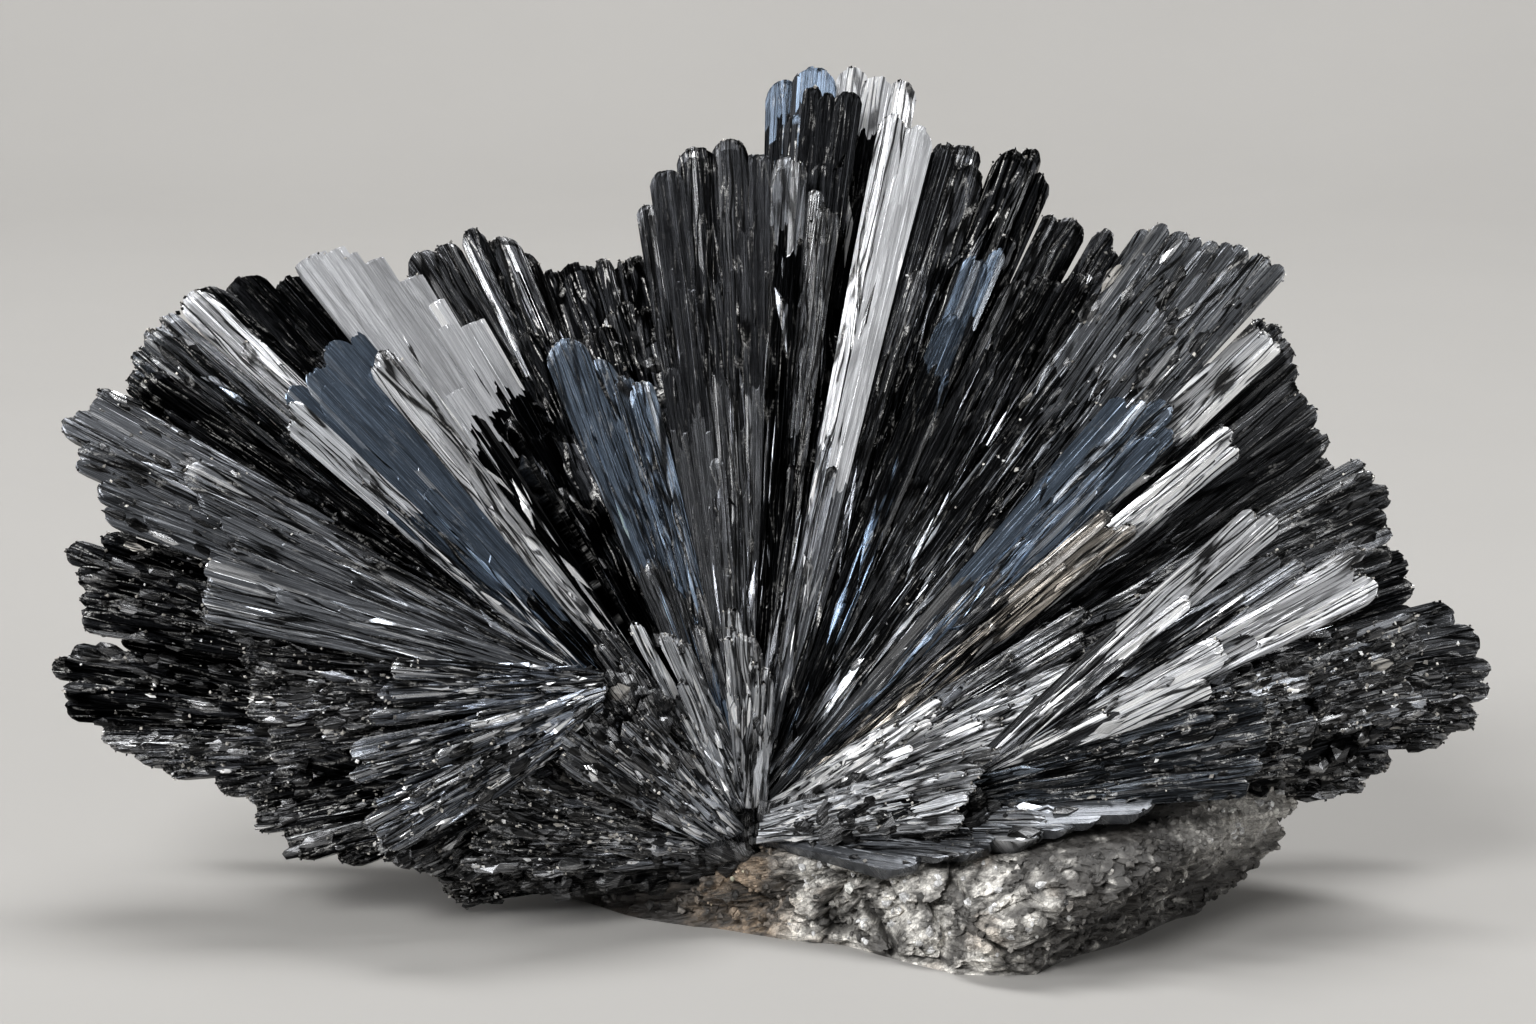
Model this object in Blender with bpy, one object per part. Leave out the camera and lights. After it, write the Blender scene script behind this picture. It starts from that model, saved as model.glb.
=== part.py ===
"""Black kyanite: sheaves of dark blades that fan out from a few roots, grown on a lump of quartz.

The piece rests on the flat underside of the quartz. The blades are one solid, because they
grew through each other, and the quartz is a second one that fits into it from below.
"""

import math
import random
from collections import namedtuple

import bmesh
import bpy
from mathutils import Vector, noise

MM = 0.001

# Where the main root of the fan stands over the centre of the footprint, in millimetres.
ROOT_AT = Vector((-2.15, -11.7, 9.0))

# The face of the fan leans back, and the fan flares: what lies deeper stands a little further out.
FACE_LEAN = math.radians(12.0)
FLARE_LENGTH = 387.0
FLARE_AXIS = (1.5, 28.8)

# A sheaf is a plate of laths side by side, thin at its root and toothed at its tips.
PLATE_THICKNESS = 2.2
ROOT_THICKNESS = 1.2
SHOULDER = 0.87
LATH_OVERLAP = 1.15
LONE_LATH_WIDTH = 3.4
ROOT_LATH_WIDTH = 0.45
ROOT_STAGGER = 3.0
RIBS_PER_LATH = 0.65
RIB_HEIGHT = (0.35, 0.9)
TOOTH_DEPTH = 0.3
TIP_REACH = 0.7
RAGGED_LENGTH = 1.8
TIP_DROP = 0.45

# The gap between the blades and the quartz that they grew on.
SEAT_GAP = 0.3

Sheaf = namedtuple("Sheaf", "first last laths bulge root spread ragged", defaults=(0, None, None, 1.0))

# Points on the fan are (across, up, depth) in millimetres from the main root. A sheaf runs from
# its root to a row of tips, first to last, and the middle of the row bulges out by a given length.
MAIN_ROOT = (0, 0, 3)
BACK_ROW = [
    Sheaf((-50.5, 48, 10), (-42, 50, 12), 3, 1.5),
    Sheaf((-31.2, 52.5, 17), (-27.5, 52.3, 18), 2),
    Sheaf((-25.5, 53.8, 18), (-20.5, 52, 18), 3),
    Sheaf((-18.5, 50.5, 19), (-15.3, 50.5, 19), 2),
    Sheaf((-13.8, 51.8, 17), (-10.2, 51.2, 16), 3),
    Sheaf((-13, 47, 13), (-9.5, 47, 13), 3),
    Sheaf((2.8, 67.5, 16), (6.5, 69, 16), 2),
    Sheaf((9, 69.6, 17), (14, 66.8, 17), 3),
    Sheaf((17.5, 62, 15), (20, 61, 15), 2),
    Sheaf((22.5, 61, 15), (25.6, 61, 14), 3),
    Sheaf((27.5, 56, 16), (29.8, 55.2, 16), 2),
    Sheaf((31.5, 53.6, 16), (33, 52.5, 16), 2),
    Sheaf((47.8, 44, 10), (50, 40, 10), 3),
    Sheaf((50.5, 38, 14), (52.8, 33, 13), 3),
    Sheaf((-57, 41, 6), (-53.5, 44.5, 6), 3),
]
UPPER_FAN = [
    Sheaf((-54.8, 42.5, 6), (-53, 46.5, 6), 3),
    Sheaf((-51, 47.6, 8), (-50.2, 48, 8), 1),
    Sheaf((-41.8, 39.5, 3), (-36.5, 45, 5), 4),
    Sheaf((-42, 36.5, 2), (-41, 38, 2), 2),
    Sheaf((-33.8, 42.3, 3.5), (-33.2, 42.7, 3.5), 1),
    Sheaf((-40.2, 51.2, 7), (-24.5, 44.5, 11), 8, 4, ragged=0.1),
    Sheaf((-22, 38, 9), (-20, 35, 9), 2),
    Sheaf((-17.6, 44, 6), (-10, 40, 6), 4),
    Sheaf((-9.6, 56, 8), (0.8, 60.5, 8), 5, 3.5, ragged=0.4),
    Sheaf((2.6, 61, 7), (4.4, 60.3, 7), 1),
    Sheaf((5.6, 57, 8), (7, 55, 8), 2),
    Sheaf((5.4, 66.9, 13), (9.4, 67.4, 13), 3),
    Sheaf((13, 64.8, 10), (15.7, 63.4, 10), 2),
    Sheaf((17.2, 61.5, 11), (20, 59.5, 11), 2),
    Sheaf((23.5, 61, 11), (25.8, 58.5, 11), 2),
    Sheaf((20, 51.2, 7), (22, 51.6, 7), 2),
    Sheaf((24, 50, 9), (30, 50, 10), 4),
    Sheaf((35.8, 54.2, 7), (47.9, 50.8, 8), 9, 0.5, ragged=0.5),
    Sheaf((46, 46, 6), (47.4, 45, 6), 2),
    Sheaf((45.3, 45.3, 5), (47.3, 43.5, 5), 3),
    Sheaf((49.3, 40.5, 6), (49.5, 38.5, 6), 2),
    Sheaf((32.5, 38, 2), (38, 36, 2), 4, 1.5),
    Sheaf((43.2, 36.2, 3), (44.2, 34.4, 3), 3),
    Sheaf((32, 28.6, 0), (34, 26.5, 0), 3),
    Sheaf((31, 21, 1), (30, 15.5, 0), 5),
    Sheaf((29.5, 15, -2), (28.5, 9, -4), 5),
    Sheaf((17, 12.5, -3), (15, 8, -4), 5),
    Sheaf((-2.4, 20, -1), (1.6, 15, -1), 5),
    Sheaf((-10, 18.5, 0), (-7.5, 18, 0), 4),
    Sheaf((-13.5, 19, 1), (-13.5, 16, 1), 4),
]

WING_ROOT = (-17, 14.5, 2)
LEFT_WING = [
    Sheaf((-58.3, 39.5, 1), (-57, 28, -3), 8, 4),
    Sheaf((-50.5, 33, -3), (-47, 26, -4), 4),
    Sheaf((-55.5, 40.6, 2), (-50, 37, 2), 3),
    Sheaf((-48, 24.3, -8), (-49, 19.3, -9), 4, root=(-19, 14, -5)),
    Sheaf((-57.5, 26.5, 4), (-59.5, 18.5, 2), 5, 3, root=(-20, 13, 5), ragged=1.5),
    Sheaf((-62, 16.5, 5), (-60.8, 10.5, 5), 4, root=(-18, 8, 6), ragged=1.5),
    Sheaf((-58.8, 9, 6), (-46, 3.3, 4), 6, root=(-18, 8, 6), ragged=1.5),
    Sheaf((-46.8, 16.2, -4), (-42, 7, -5), 6, root=(-22, 12, -2), ragged=1.5),
    Sheaf((-32, 15.8, -9), (-34, -1.8, -9), 11, 3, root=(-13.8, 11.8, -6)),
    Sheaf((-28, 8, -12), (-30, -1, -12), 6, 1, root=(-13.8, 11.8, -6)),
    Sheaf((-46, 2.8, 0), (-37.5, -2.6, -1), 4, root=(-16, 6, 0), ragged=1.5),
    Sheaf((-34, -2, -4), (-27, -4.5, -2), 4, root=(-16, 6, 0), ragged=1.5),
    Sheaf((-18, 6.5, -10), (-10, 10.6, -8), 6, 1, root=(-2, -1, 0)),
    Sheaf((-24.5, 5, -9), (-26, -2, -9), 7, root=(-3, -1, 1), ragged=1.5),
    Sheaf((-30, -3, 2), (-26, -6.5, 4), 5, root=(0, -2, 4), ragged=1.5),
]

RIGHT_WING = [
    Sheaf((54.5, 33, 5), (58.3, 25, 3), 6, 1, root=(20, 12, 2)),
    Sheaf((58.2, 24.5, 4), (60, 20, 3), 3, root=(22, 10, 2)),
    Sheaf((63, 20, 2), (65.3, 12.5, 0), 4, 1.2, root=(25, 10, 0), ragged=1.5),
    Sheaf((64.5, 10.5, 1), (61.5, 8, 1), 3, root=(25, 8, 0), ragged=1.5),
    Sheaf((58.5, 6.5, 1), (53.5, 3.5, 1), 4, root=(24, 6, 1), ragged=1.5),
    Sheaf((24, 11, -3), (24.5, 8, -4), 4),
    Sheaf((36, 3.2, -10), (14, -2.5, -8), 7, root=(2, 0, -1)),
]

BLOCK_ROOT = (17, 2.5, -4)
RIGHT_BLOCK = [
    Sheaf((44.6, 28.1, -5), (46.2, 26.4, -5), 2, ragged=2),
    Sheaf((47.5, 24.5, -6), (50, 22.5, -6), 3),
    Sheaf((54.5, 24.8, -6), (57.8, 22.5, -6), 3, ragged=2),
    Sheaf((59, 19, -4), (60.5, 11, -4), 5, ragged=1.5),
    Sheaf((42, 16.9, -10), (42.3, 13.2, -10), 3, ragged=2),
    Sheaf((50, 15, -9), (50, 6, -9), 6, ragged=1.5),
    Sheaf((45, 11.5, -13), (43.5, 3.5, -13), 5, 2.5, ragged=0.8),
]

# Sheaves that close the gaps between those in front.
FILLERS = [
    Sheaf((-57.5, 21, 9), (-58, 11, 9), 4, root=(-18, 10, 9)),
    Sheaf((-20.5, 44, 12), (-13, 45.5, 12), 5),
    Sheaf((22, 7.5, -8), (19, 1, -9), 5, root=(1, 0, -2)),
]

# Behind the fan, sheaves stand in tiers round a rear root: how far a tier's tips reach across and
# up, how deep they lie, and how many sheaves and laths it has.
REAR_ROOT = (2, 6, 17)
REAR_TIERS = [
    (52, 42, 21, 9, 6),
    (37, 31, 29, 7, 5),
    (21, 17, 35, 5, 4),
]
REAR_FIRST_ANGLE = math.radians(3)
REAR_LAST_ANGLE = math.radians(176)

# The massive part between the sheaves: centre and half sizes of each lump.
CORE_LUMPS = [
    ((0, 24, 15), (34, 22, 8)),
    ((-22, 8, 9), (24, 8, 8)),
    ((30, 8, 8), (24, 7, 8)),
    ((0, -1, 8), (13, 4, 9)),
    ((-12, -2, 6), (14, 4, 7)),
    ((-14, 9, 1), (6, 5, 8)),
    ((40, 9, 1), (16, 6, 7)),
    ((16, 1, 2), (13, 4, 9)),
]
LUMP_SWELL = 0.18
LUMP_ROUGHNESS = 1.6

# The quartz: corners (x, y) of its outline, in millimetres from the main root's foot, and how far
# that outline is scaled and shifted at each height. The top rises towards the right.
QUARTZ_OUTLINE = [
    (-24, 14), (-6, -1), (8, -6), (18, -15), (25, -14.5), (33, -4),
    (41, 3), (38, 16), (22, 26), (0, 27), (-18, 24),
]
QUARTZ_LEVELS = [(0, 1.0, 0), (2.5, 1.07, 1.5), (5, 1.1, 3.5), (7.3, 1.08, 7), (9, 0.93, 9)]
QUARTZ_RISE = 0.02
QUARTZ_RISE_FROM = 22
QUARTZ_SIDES = 26
QUARTZ_BUMPS = 1.6
QUARTZ_BUMP_SIZE = 9.0
SEAT_DEPTH = 5.0


def face_point(across, up, depth):
    """A point on the fan, in metres."""
    flare = 1 + depth / FLARE_LENGTH
    across = FLARE_AXIS[0] + (across - FLARE_AXIS[0]) * flare
    up = FLARE_AXIS[1] + (up - FLARE_AXIS[1]) * flare
    y = up * math.sin(FACE_LEAN) + depth * math.cos(FACE_LEAN)
    z = up * math.cos(FACE_LEAN) - depth * math.sin(FACE_LEAN)
    return (ROOT_AT + Vector((across, y, z))) * MM


def rear_sheaves():
    """The rear tiers, each a ring of sheaves from side to side over the back."""
    rng = random.Random("rear")
    sheaves = []
    for across, up, depth, count, laths in REAR_TIERS:
        step = (REAR_LAST_ANGLE - REAR_FIRST_ANGLE) / count
        for number in range(count):
            middle = REAR_FIRST_ANGLE + (number + 0.5) * step
            reach = rng.uniform(0.9, 1.06)
            ends = []
            for angle in (middle + step * 0.4, middle - step * 0.4):
                deep = depth + rng.uniform(-2.0, 2.0)
                ends.append((
                    REAR_ROOT[0] + across * reach * math.cos(angle),
                    REAR_ROOT[1] + up * reach * math.sin(angle),
                    deep,
                ))
            sheaves.append(Sheaf(*ends, laths, 1.5))
    return sheaves


def all_sheaves():
    """Every sheaf, with its group's root and the way it faces: -1 to the front, 1 to the back."""
    groups = (
        (MAIN_ROOT, -1, BACK_ROW),
        (MAIN_ROOT, -1, UPPER_FAN),
        (WING_ROOT, -1, LEFT_WING),
        (MAIN_ROOT, -1, RIGHT_WING),
        (BLOCK_ROOT, -1, RIGHT_BLOCK),
        (REAR_ROOT, 1, rear_sheaves()),
        (MAIN_ROOT, -1, FILLERS),
    )
    return [(root, facing, sheaf) for root, facing, sheaves in groups for sheaf in sheaves]


def row_of_tips(sheaf, ribs, rng):
    """The two ends of a sheaf's row of tips, and how far each rib reaches past that row."""
    first, last = face_point(*sheaf.first), face_point(*sheaf.last)
    if sheaf.laths == 1:
        half = (last - first).normalized() * LONE_LATH_WIDTH / 2 * MM
        first = last = (first + last) / 2
    else:
        half = (last - first) / (sheaf.laths - 1) * LATH_OVERLAP / 2
    reach = []
    for number in range(ribs):
        along = (number + 0.5) / ribs
        ragged = rng.uniform(-0.5, 0.5) * RAGGED_LENGTH * sheaf.ragged
        reach.append((TIP_REACH + 4 * along * (1 - along) * sheaf.bulge + ragged) * MM)
    return first - half, last + half, reach


def add_plate(mesh, root, facing, sheaf, rng):
    """Adds one closed plate: ribbed on its face, flat behind and toothed at its tips."""
    ribs = max(1, round(sheaf.laths * RIBS_PER_LATH))
    columns = 2 * ribs
    left, right, reach = row_of_tips(sheaf, ribs, rng)
    side = (right - left).normalized()
    outward = ((left + right) / 2 - root).normalized()
    normal = outward.cross(side).normalized()
    if normal.y * facing < 0:
        normal.negate()
    start = root + (outward * rng.uniform(0, ROOT_STAGGER) + normal * rng.uniform(-0.6, 0.6)) * MM
    half = side * (sheaf.spread or ROOT_LATH_WIDTH * sheaf.laths) / 2 * MM
    ends = start - half, start + half
    rib_width = (right - left).length / ribs
    crests = [rng.uniform(*RIB_HEIGHT) * MM for _ in range(ribs)]

    def face(column, along):
        """A point of the ribbed face: odd columns run along a rib's crest, even ones between ribs."""
        tip = left.lerp(right, column / columns)
        if column % 2:
            tip = tip + outward * reach[column // 2]
            lift = crests[column // 2]
        else:
            beside = reach[max(column // 2 - 1, 0)], reach[min(column // 2, ribs - 1)]
            tip = tip + outward * (min(beside) - rib_width * TOOTH_DEPTH)
            lift = 0.0
        if along == 1:
            lift -= TIP_DROP * PLATE_THICKNESS * MM
        return ends[0].lerp(ends[1], column / columns).lerp(tip, along) + normal * lift

    def ring(along, thickness):
        """The points across the face at this distance, and the two behind its edges."""
        points = [face(column, along) for column in range(columns + 1)]
        behind = [points[side_column] - normal * thickness * MM for side_column in (0, -1)]
        return [mesh.verts.new(point) for point in points], [mesh.verts.new(point) for point in behind]

    deep = normal * ROOT_THICKNESS * MM
    roots = [mesh.verts.new(point) for point in (*ends, ends[1] - deep, ends[0] - deep)]
    shoulder, shoulder_back = ring(SHOULDER, PLATE_THICKNESS)
    tip, tip_back = ring(1, PLATE_THICKNESS / 2)
    faces = [
        roots,
        (roots[0], shoulder[ribs], roots[1]),
        (roots[3], shoulder_back[0], shoulder[0], roots[0]),
        (roots[1], shoulder[-1], shoulder_back[1], roots[2]),
        (roots[2], shoulder_back[1], shoulder_back[0], roots[3]),
        (shoulder_back[0], tip_back[0], tip[0], shoulder[0]),
        (shoulder[-1], tip[-1], tip_back[1], shoulder_back[1]),
        (shoulder_back[1], tip_back[1], tip_back[0], shoulder_back[0]),
        (tip_back[0], tip_back[1], tip[ribs]),
    ]
    for column in range(columns):
        near = 0 if column < ribs else 1
        faces.append((roots[near], shoulder[column], shoulder[column + 1]))
        faces.append((shoulder[column], tip[column], tip[column + 1], shoulder[column + 1]))
        faces.append((tip_back[near], tip[column + 1], tip[column]))
    for corners in faces:
        mesh.faces.new(corners)


def new_object(name, mesh, collection):
    bmesh.ops.triangulate(mesh, faces=mesh.faces)
    bmesh.ops.recalc_face_normals(mesh, faces=mesh.faces)
    data = bpy.data.meshes.new(name)
    mesh.to_mesh(data)
    mesh.free()
    obj = bpy.data.objects.new(name, data)
    collection.objects.link(obj)
    return obj


def new_collection(name):
    collection = bpy.data.collections.new(name)
    bpy.context.scene.collection.children.link(collection)
    return collection


def hide(obj):
    """Keeps a helper out of the model."""
    obj.hide_render = True
    obj.display_type = "WIRE"
    return obj


def make_plate(number, root, facing, sheaf, collection):
    mesh = bmesh.new()
    add_plate(mesh, face_point(*root), facing, sheaf, random.Random(number))
    return new_object(f"plate_{number}", mesh, collection)


def make_lump(number, centre, halves, collection):
    """An uneven ball, squashed to its half sizes across, up and in depth."""
    mesh = bmesh.new()
    bmesh.ops.create_icosphere(mesh, subdivisions=2, radius=1.0)
    for vert in mesh.verts:
        swell = 1 + LUMP_SWELL * noise.noise(vert.co * LUMP_ROUGHNESS + Vector((number, 0, 0)))
        place = [middle + half * value * swell for middle, half, value in zip(centre, halves, vert.co)]
        vert.co = face_point(*place)
    return new_object(f"lump_{number}", mesh, collection)


def points_along(corners, count):
    """Points evenly spaced along a closed outline."""
    sides = [(a, b, (b - a).length) for a, b in zip(corners, corners[1:] + corners[:1])]
    total = sum(length for _, _, length in sides)
    points = []
    for number in range(count):
        left = total * number / count
        for a, b, length in sides:
            if left <= length:
                points.append(a.lerp(b, left / length))
                break
            left -= length
    return points


def quartz_mesh(gap):
    """The quartz lump, grown by the gap. A grown one, which cuts the seat, also runs on below."""
    mesh = bmesh.new()
    outline = points_along([Vector((*corner, 0)) for corner in QUARTZ_OUTLINE], QUARTZ_SIDES)
    middle = sum(outline, Vector()) / len(outline)
    foot = Vector((ROOT_AT.x, ROOT_AT.y, 0))
    rings = []
    for height, scale, shift in QUARTZ_LEVELS:
        ring = []
        for point in outline:
            spoke = point - middle
            place = middle + spoke * scale + Vector((shift, 0, height))
            bump = noise.noise(place / QUARTZ_BUMP_SIZE) * QUARTZ_BUMPS
            place += spoke.normalized() * (bump + gap)
            place.z *= 1 + QUARTZ_RISE * max(0, place.x - QUARTZ_RISE_FROM)
            if gap and height == 0:
                place.z -= SEAT_DEPTH
            if height == QUARTZ_LEVELS[-1][0]:
                place.z += gap
            ring.append(mesh.verts.new((foot + place) * MM))
        rings.append(ring)
    for lower, upper in zip(rings, rings[1:]):
        for number in range(QUARTZ_SIDES):
            after = (number + 1) % QUARTZ_SIDES
            mesh.faces.new((lower[number], lower[after], upper[after], upper[number]))
    mesh.faces.new(reversed(rings[0]))
    mesh.faces.new(rings[-1])
    return mesh


def fill_hollows(obj):
    """Keeps the outer skin alone, so that no hollow stays shut in between the sheaves."""
    mesh = bmesh.new()
    mesh.from_object(obj, bpy.context.evaluated_depsgraph_get())
    unseen, skins = set(mesh.verts), []
    while unseen:
        skin = [unseen.pop()]
        for vert in skin:
            beside = {edge.other_vert(vert) for edge in vert.link_edges} & unseen
            unseen -= beside
            skin.extend(beside)
        skins.append(skin)
    skins.remove(max(skins, key=len))
    for skin in skins:
        bmesh.ops.delete(mesh, geom=skin, context="VERTS")
    obj.modifiers.clear()
    mesh.to_mesh(obj.data)
    mesh.free()


def material(name, colour, roughness, metallic):
    made = bpy.data.materials.new(name)
    made.use_nodes = True
    shader = made.node_tree.nodes["Principled BSDF"]
    shader.inputs["Base Color"].default_value = (*colour, 1.0)
    shader.inputs["Roughness"].default_value = roughness
    shader.inputs["Metallic"].default_value = metallic
    return made


def join_blades(collection, plates, seat):
    """One solid of every sheaf and lump, cut where the quartz sits."""
    for number, (group_root, facing, sheaf) in enumerate(all_sheaves()):
        hide(make_plate(number, sheaf.root or group_root, facing, sheaf, plates))
    for number, lump in enumerate(CORE_LUMPS[1:], 1):
        hide(make_lump(number, *lump, plates))
    blades = make_lump(0, *CORE_LUMPS[0], collection)
    blades.name = blades.data.name = "kyanite"
    join = blades.modifiers.new("grown together", "BOOLEAN")
    join.operation = "UNION"
    join.solver = "MANIFOLD"
    join.operand_type = "COLLECTION"
    join.collection = plates
    cut = blades.modifiers.new("seat", "BOOLEAN")
    cut.operation = "DIFFERENCE"
    cut.solver = "MANIFOLD"
    cut.object = seat
    fill_hollows(blades)
    return blades


def main():
    for obj in list(bpy.data.objects):
        bpy.data.objects.remove(obj)
    specimen = new_collection("black_kyanite")
    plates = new_collection("plates")
    cutters = new_collection("cutters")

    quartz = new_object("matrix", quartz_mesh(0.0), specimen)
    quartz.data.materials.append(material("quartz", (0.42, 0.38, 0.33), 0.8, 0.0))
    seat = hide(new_object("seat", quartz_mesh(SEAT_GAP), cutters))
    blades = join_blades(specimen, plates, seat)
    blades.data.materials.append(material("black_kyanite", (0.035, 0.04, 0.045), 0.4, 0.3))


main()
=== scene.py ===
"""Looks of the black kyanite: each lath of the fan as a splintered blade, and the quartz under it."""

import math
import random
from collections import namedtuple

import bmesh
import bpy
import numpy as np
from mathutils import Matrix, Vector, noise


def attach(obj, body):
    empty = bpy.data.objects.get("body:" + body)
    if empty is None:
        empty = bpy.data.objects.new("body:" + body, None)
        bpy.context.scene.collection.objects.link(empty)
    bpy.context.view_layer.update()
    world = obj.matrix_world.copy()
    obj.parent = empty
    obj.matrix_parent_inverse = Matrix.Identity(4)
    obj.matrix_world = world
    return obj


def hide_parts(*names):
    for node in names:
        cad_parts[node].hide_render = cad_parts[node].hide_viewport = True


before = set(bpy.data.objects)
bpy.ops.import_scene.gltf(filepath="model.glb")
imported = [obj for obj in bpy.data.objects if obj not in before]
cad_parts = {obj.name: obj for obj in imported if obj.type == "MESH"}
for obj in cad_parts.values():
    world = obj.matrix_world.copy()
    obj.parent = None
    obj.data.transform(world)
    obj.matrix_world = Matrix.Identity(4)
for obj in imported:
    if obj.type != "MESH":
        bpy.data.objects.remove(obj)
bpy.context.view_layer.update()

MM = 0.001

# ---------------------------------------------------------------------------------------------
# The fan, as the solids have it: all lengths are in millimetres. The face leans back, and what lies
# deeper is flared about an axis, so that it lines up as seen from the camera's distance.

ROOT_AT = np.array((-2.15, -11.7, 9.0))
FACE_LEAN = math.radians(12.0)
FLARE_LENGTH = 387.0
FLARE_AXIS = (1.5, 28.8)
TIP_REACH = 0.7
RAGGED_LENGTH = 1.8
LONE_LATH_WIDTH = 3.4
ROOT_LATH_WIDTH = 0.45

# A tone is a lath's base colour, how metallic it looks, the share of its splinters that flash,
# and how much brighter those are: a flash is a painted glint, a brighter base colour.
# The pale tones, steel, silver and bright, are partly painted highlight: laths that shine in the light get
# a paler base colour, beside the kyanite's own silvery lustre.
TONES = {
    "black": ((0.006, 0.0063, 0.007), 1.0, 0.10, 12),
    "dark": ((0.021, 0.022, 0.0245), 0.95, 0.17, 10),
    "grey": ((0.070, 0.073, 0.079), 0.8, 0.20, 5.0),
    "slate": ((0.155, 0.164, 0.180), 0.7, 0.20, 3.0),
    "steel": ((0.28, 0.29, 0.307), 0.5, 0.20, 2.3),
    "silver": ((0.57, 0.58, 0.605), 0.42, 0.25, 1.7),
    "bright": ((0.74, 0.755, 0.785), 0.36, 0.25, 1.5),
    "blue": ((0.044, 0.060, 0.084), 0.8, 0.20, 4.0),
    "steelblue": ((0.098, 0.128, 0.172), 0.7, 0.20, 2.8),
    "bluesilver": ((0.070, 0.077, 0.090), 0.85, 0.34, 5.5),
    "navy": ((0.016, 0.0185, 0.022), 0.9, 0.12, 8),
    "brown": ((0.130, 0.118, 0.104), 0.7, 0.30, 4.5),
}

# Points are (across, up, depth) from the main root. bulge is how far the middle tips stand out, and
# ragged how uneven the tips are. calm is near 1 on a broad plate whose laths lie level with each
# other, and 0 where they stand at all heights. fade is the tone nearer the root, and the share of
# the length that it reaches to, at the first lath and, where that differs, at the last. A rough
# sheaf carries knobs and crumbs, and one that strays has loose blades over it.
Sheaf = namedtuple(
    "Sheaf", "first last laths tone bulge root ragged calm fade rough stray",
    defaults=("dark", 0, None, 1.0, 0.25, None, 0.0, 0.0),
)

MAIN_ROOT = (0, 0, 3)
# The first sheaves of the upper fan, up to this many, make its left half.
LEFT_SHEAVES = 12
BACK_ROW = [
    Sheaf((-50.5, 48, 10), (-42, 50, 12), 3, "black", 1.5, calm=0.5),
    Sheaf((-31.2, 52.5, 17), (-27.5, 52.3, 18), 2, "grey", fade=("black", 0.8)),
    Sheaf((-25.5, 53.8, 18), (-20.5, 52, 18), 3, "dark"),
    Sheaf((-18.5, 50.5, 19), (-15.3, 50.5, 19), 2, "black", calm=0.5),
    Sheaf((-13.8, 51.8, 17), (-10.2, 51.2, 16), 3, "black"),
    Sheaf((-13, 47, 13), (-9.5, 47, 13), 3, "black"),
    Sheaf((2.8, 67.5, 16), (6.5, 69, 16), 2, "blue", calm=0.8, fade=("black", 0.965, 0.955)),
    Sheaf((9, 69.6, 17), (14, 66.8, 17), 3, "bright", calm=0.3, fade=("black", 0.94, 0.9)),
    Sheaf((17.5, 62, 15), (20, 61, 15), 2, "dark", calm=0.4),
    Sheaf((22.5, 61, 15), (25.6, 61, 14), 3, "black", rough=0.12),
    Sheaf((27.5, 56, 16), (29.8, 55.2, 16), 2, "dark", rough=0.12),
    Sheaf((31.5, 53.6, 16), (33, 52.5, 16), 2, "dark", rough=0.12),
    Sheaf((47.8, 44, 10), (50, 40, 10), 3, "grey"),
    Sheaf((50.5, 38, 14), (52.8, 33, 13), 3, "grey"),
    Sheaf((-57, 41, 6), (-53.5, 44.5, 6), 3, "navy"),
]
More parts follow.
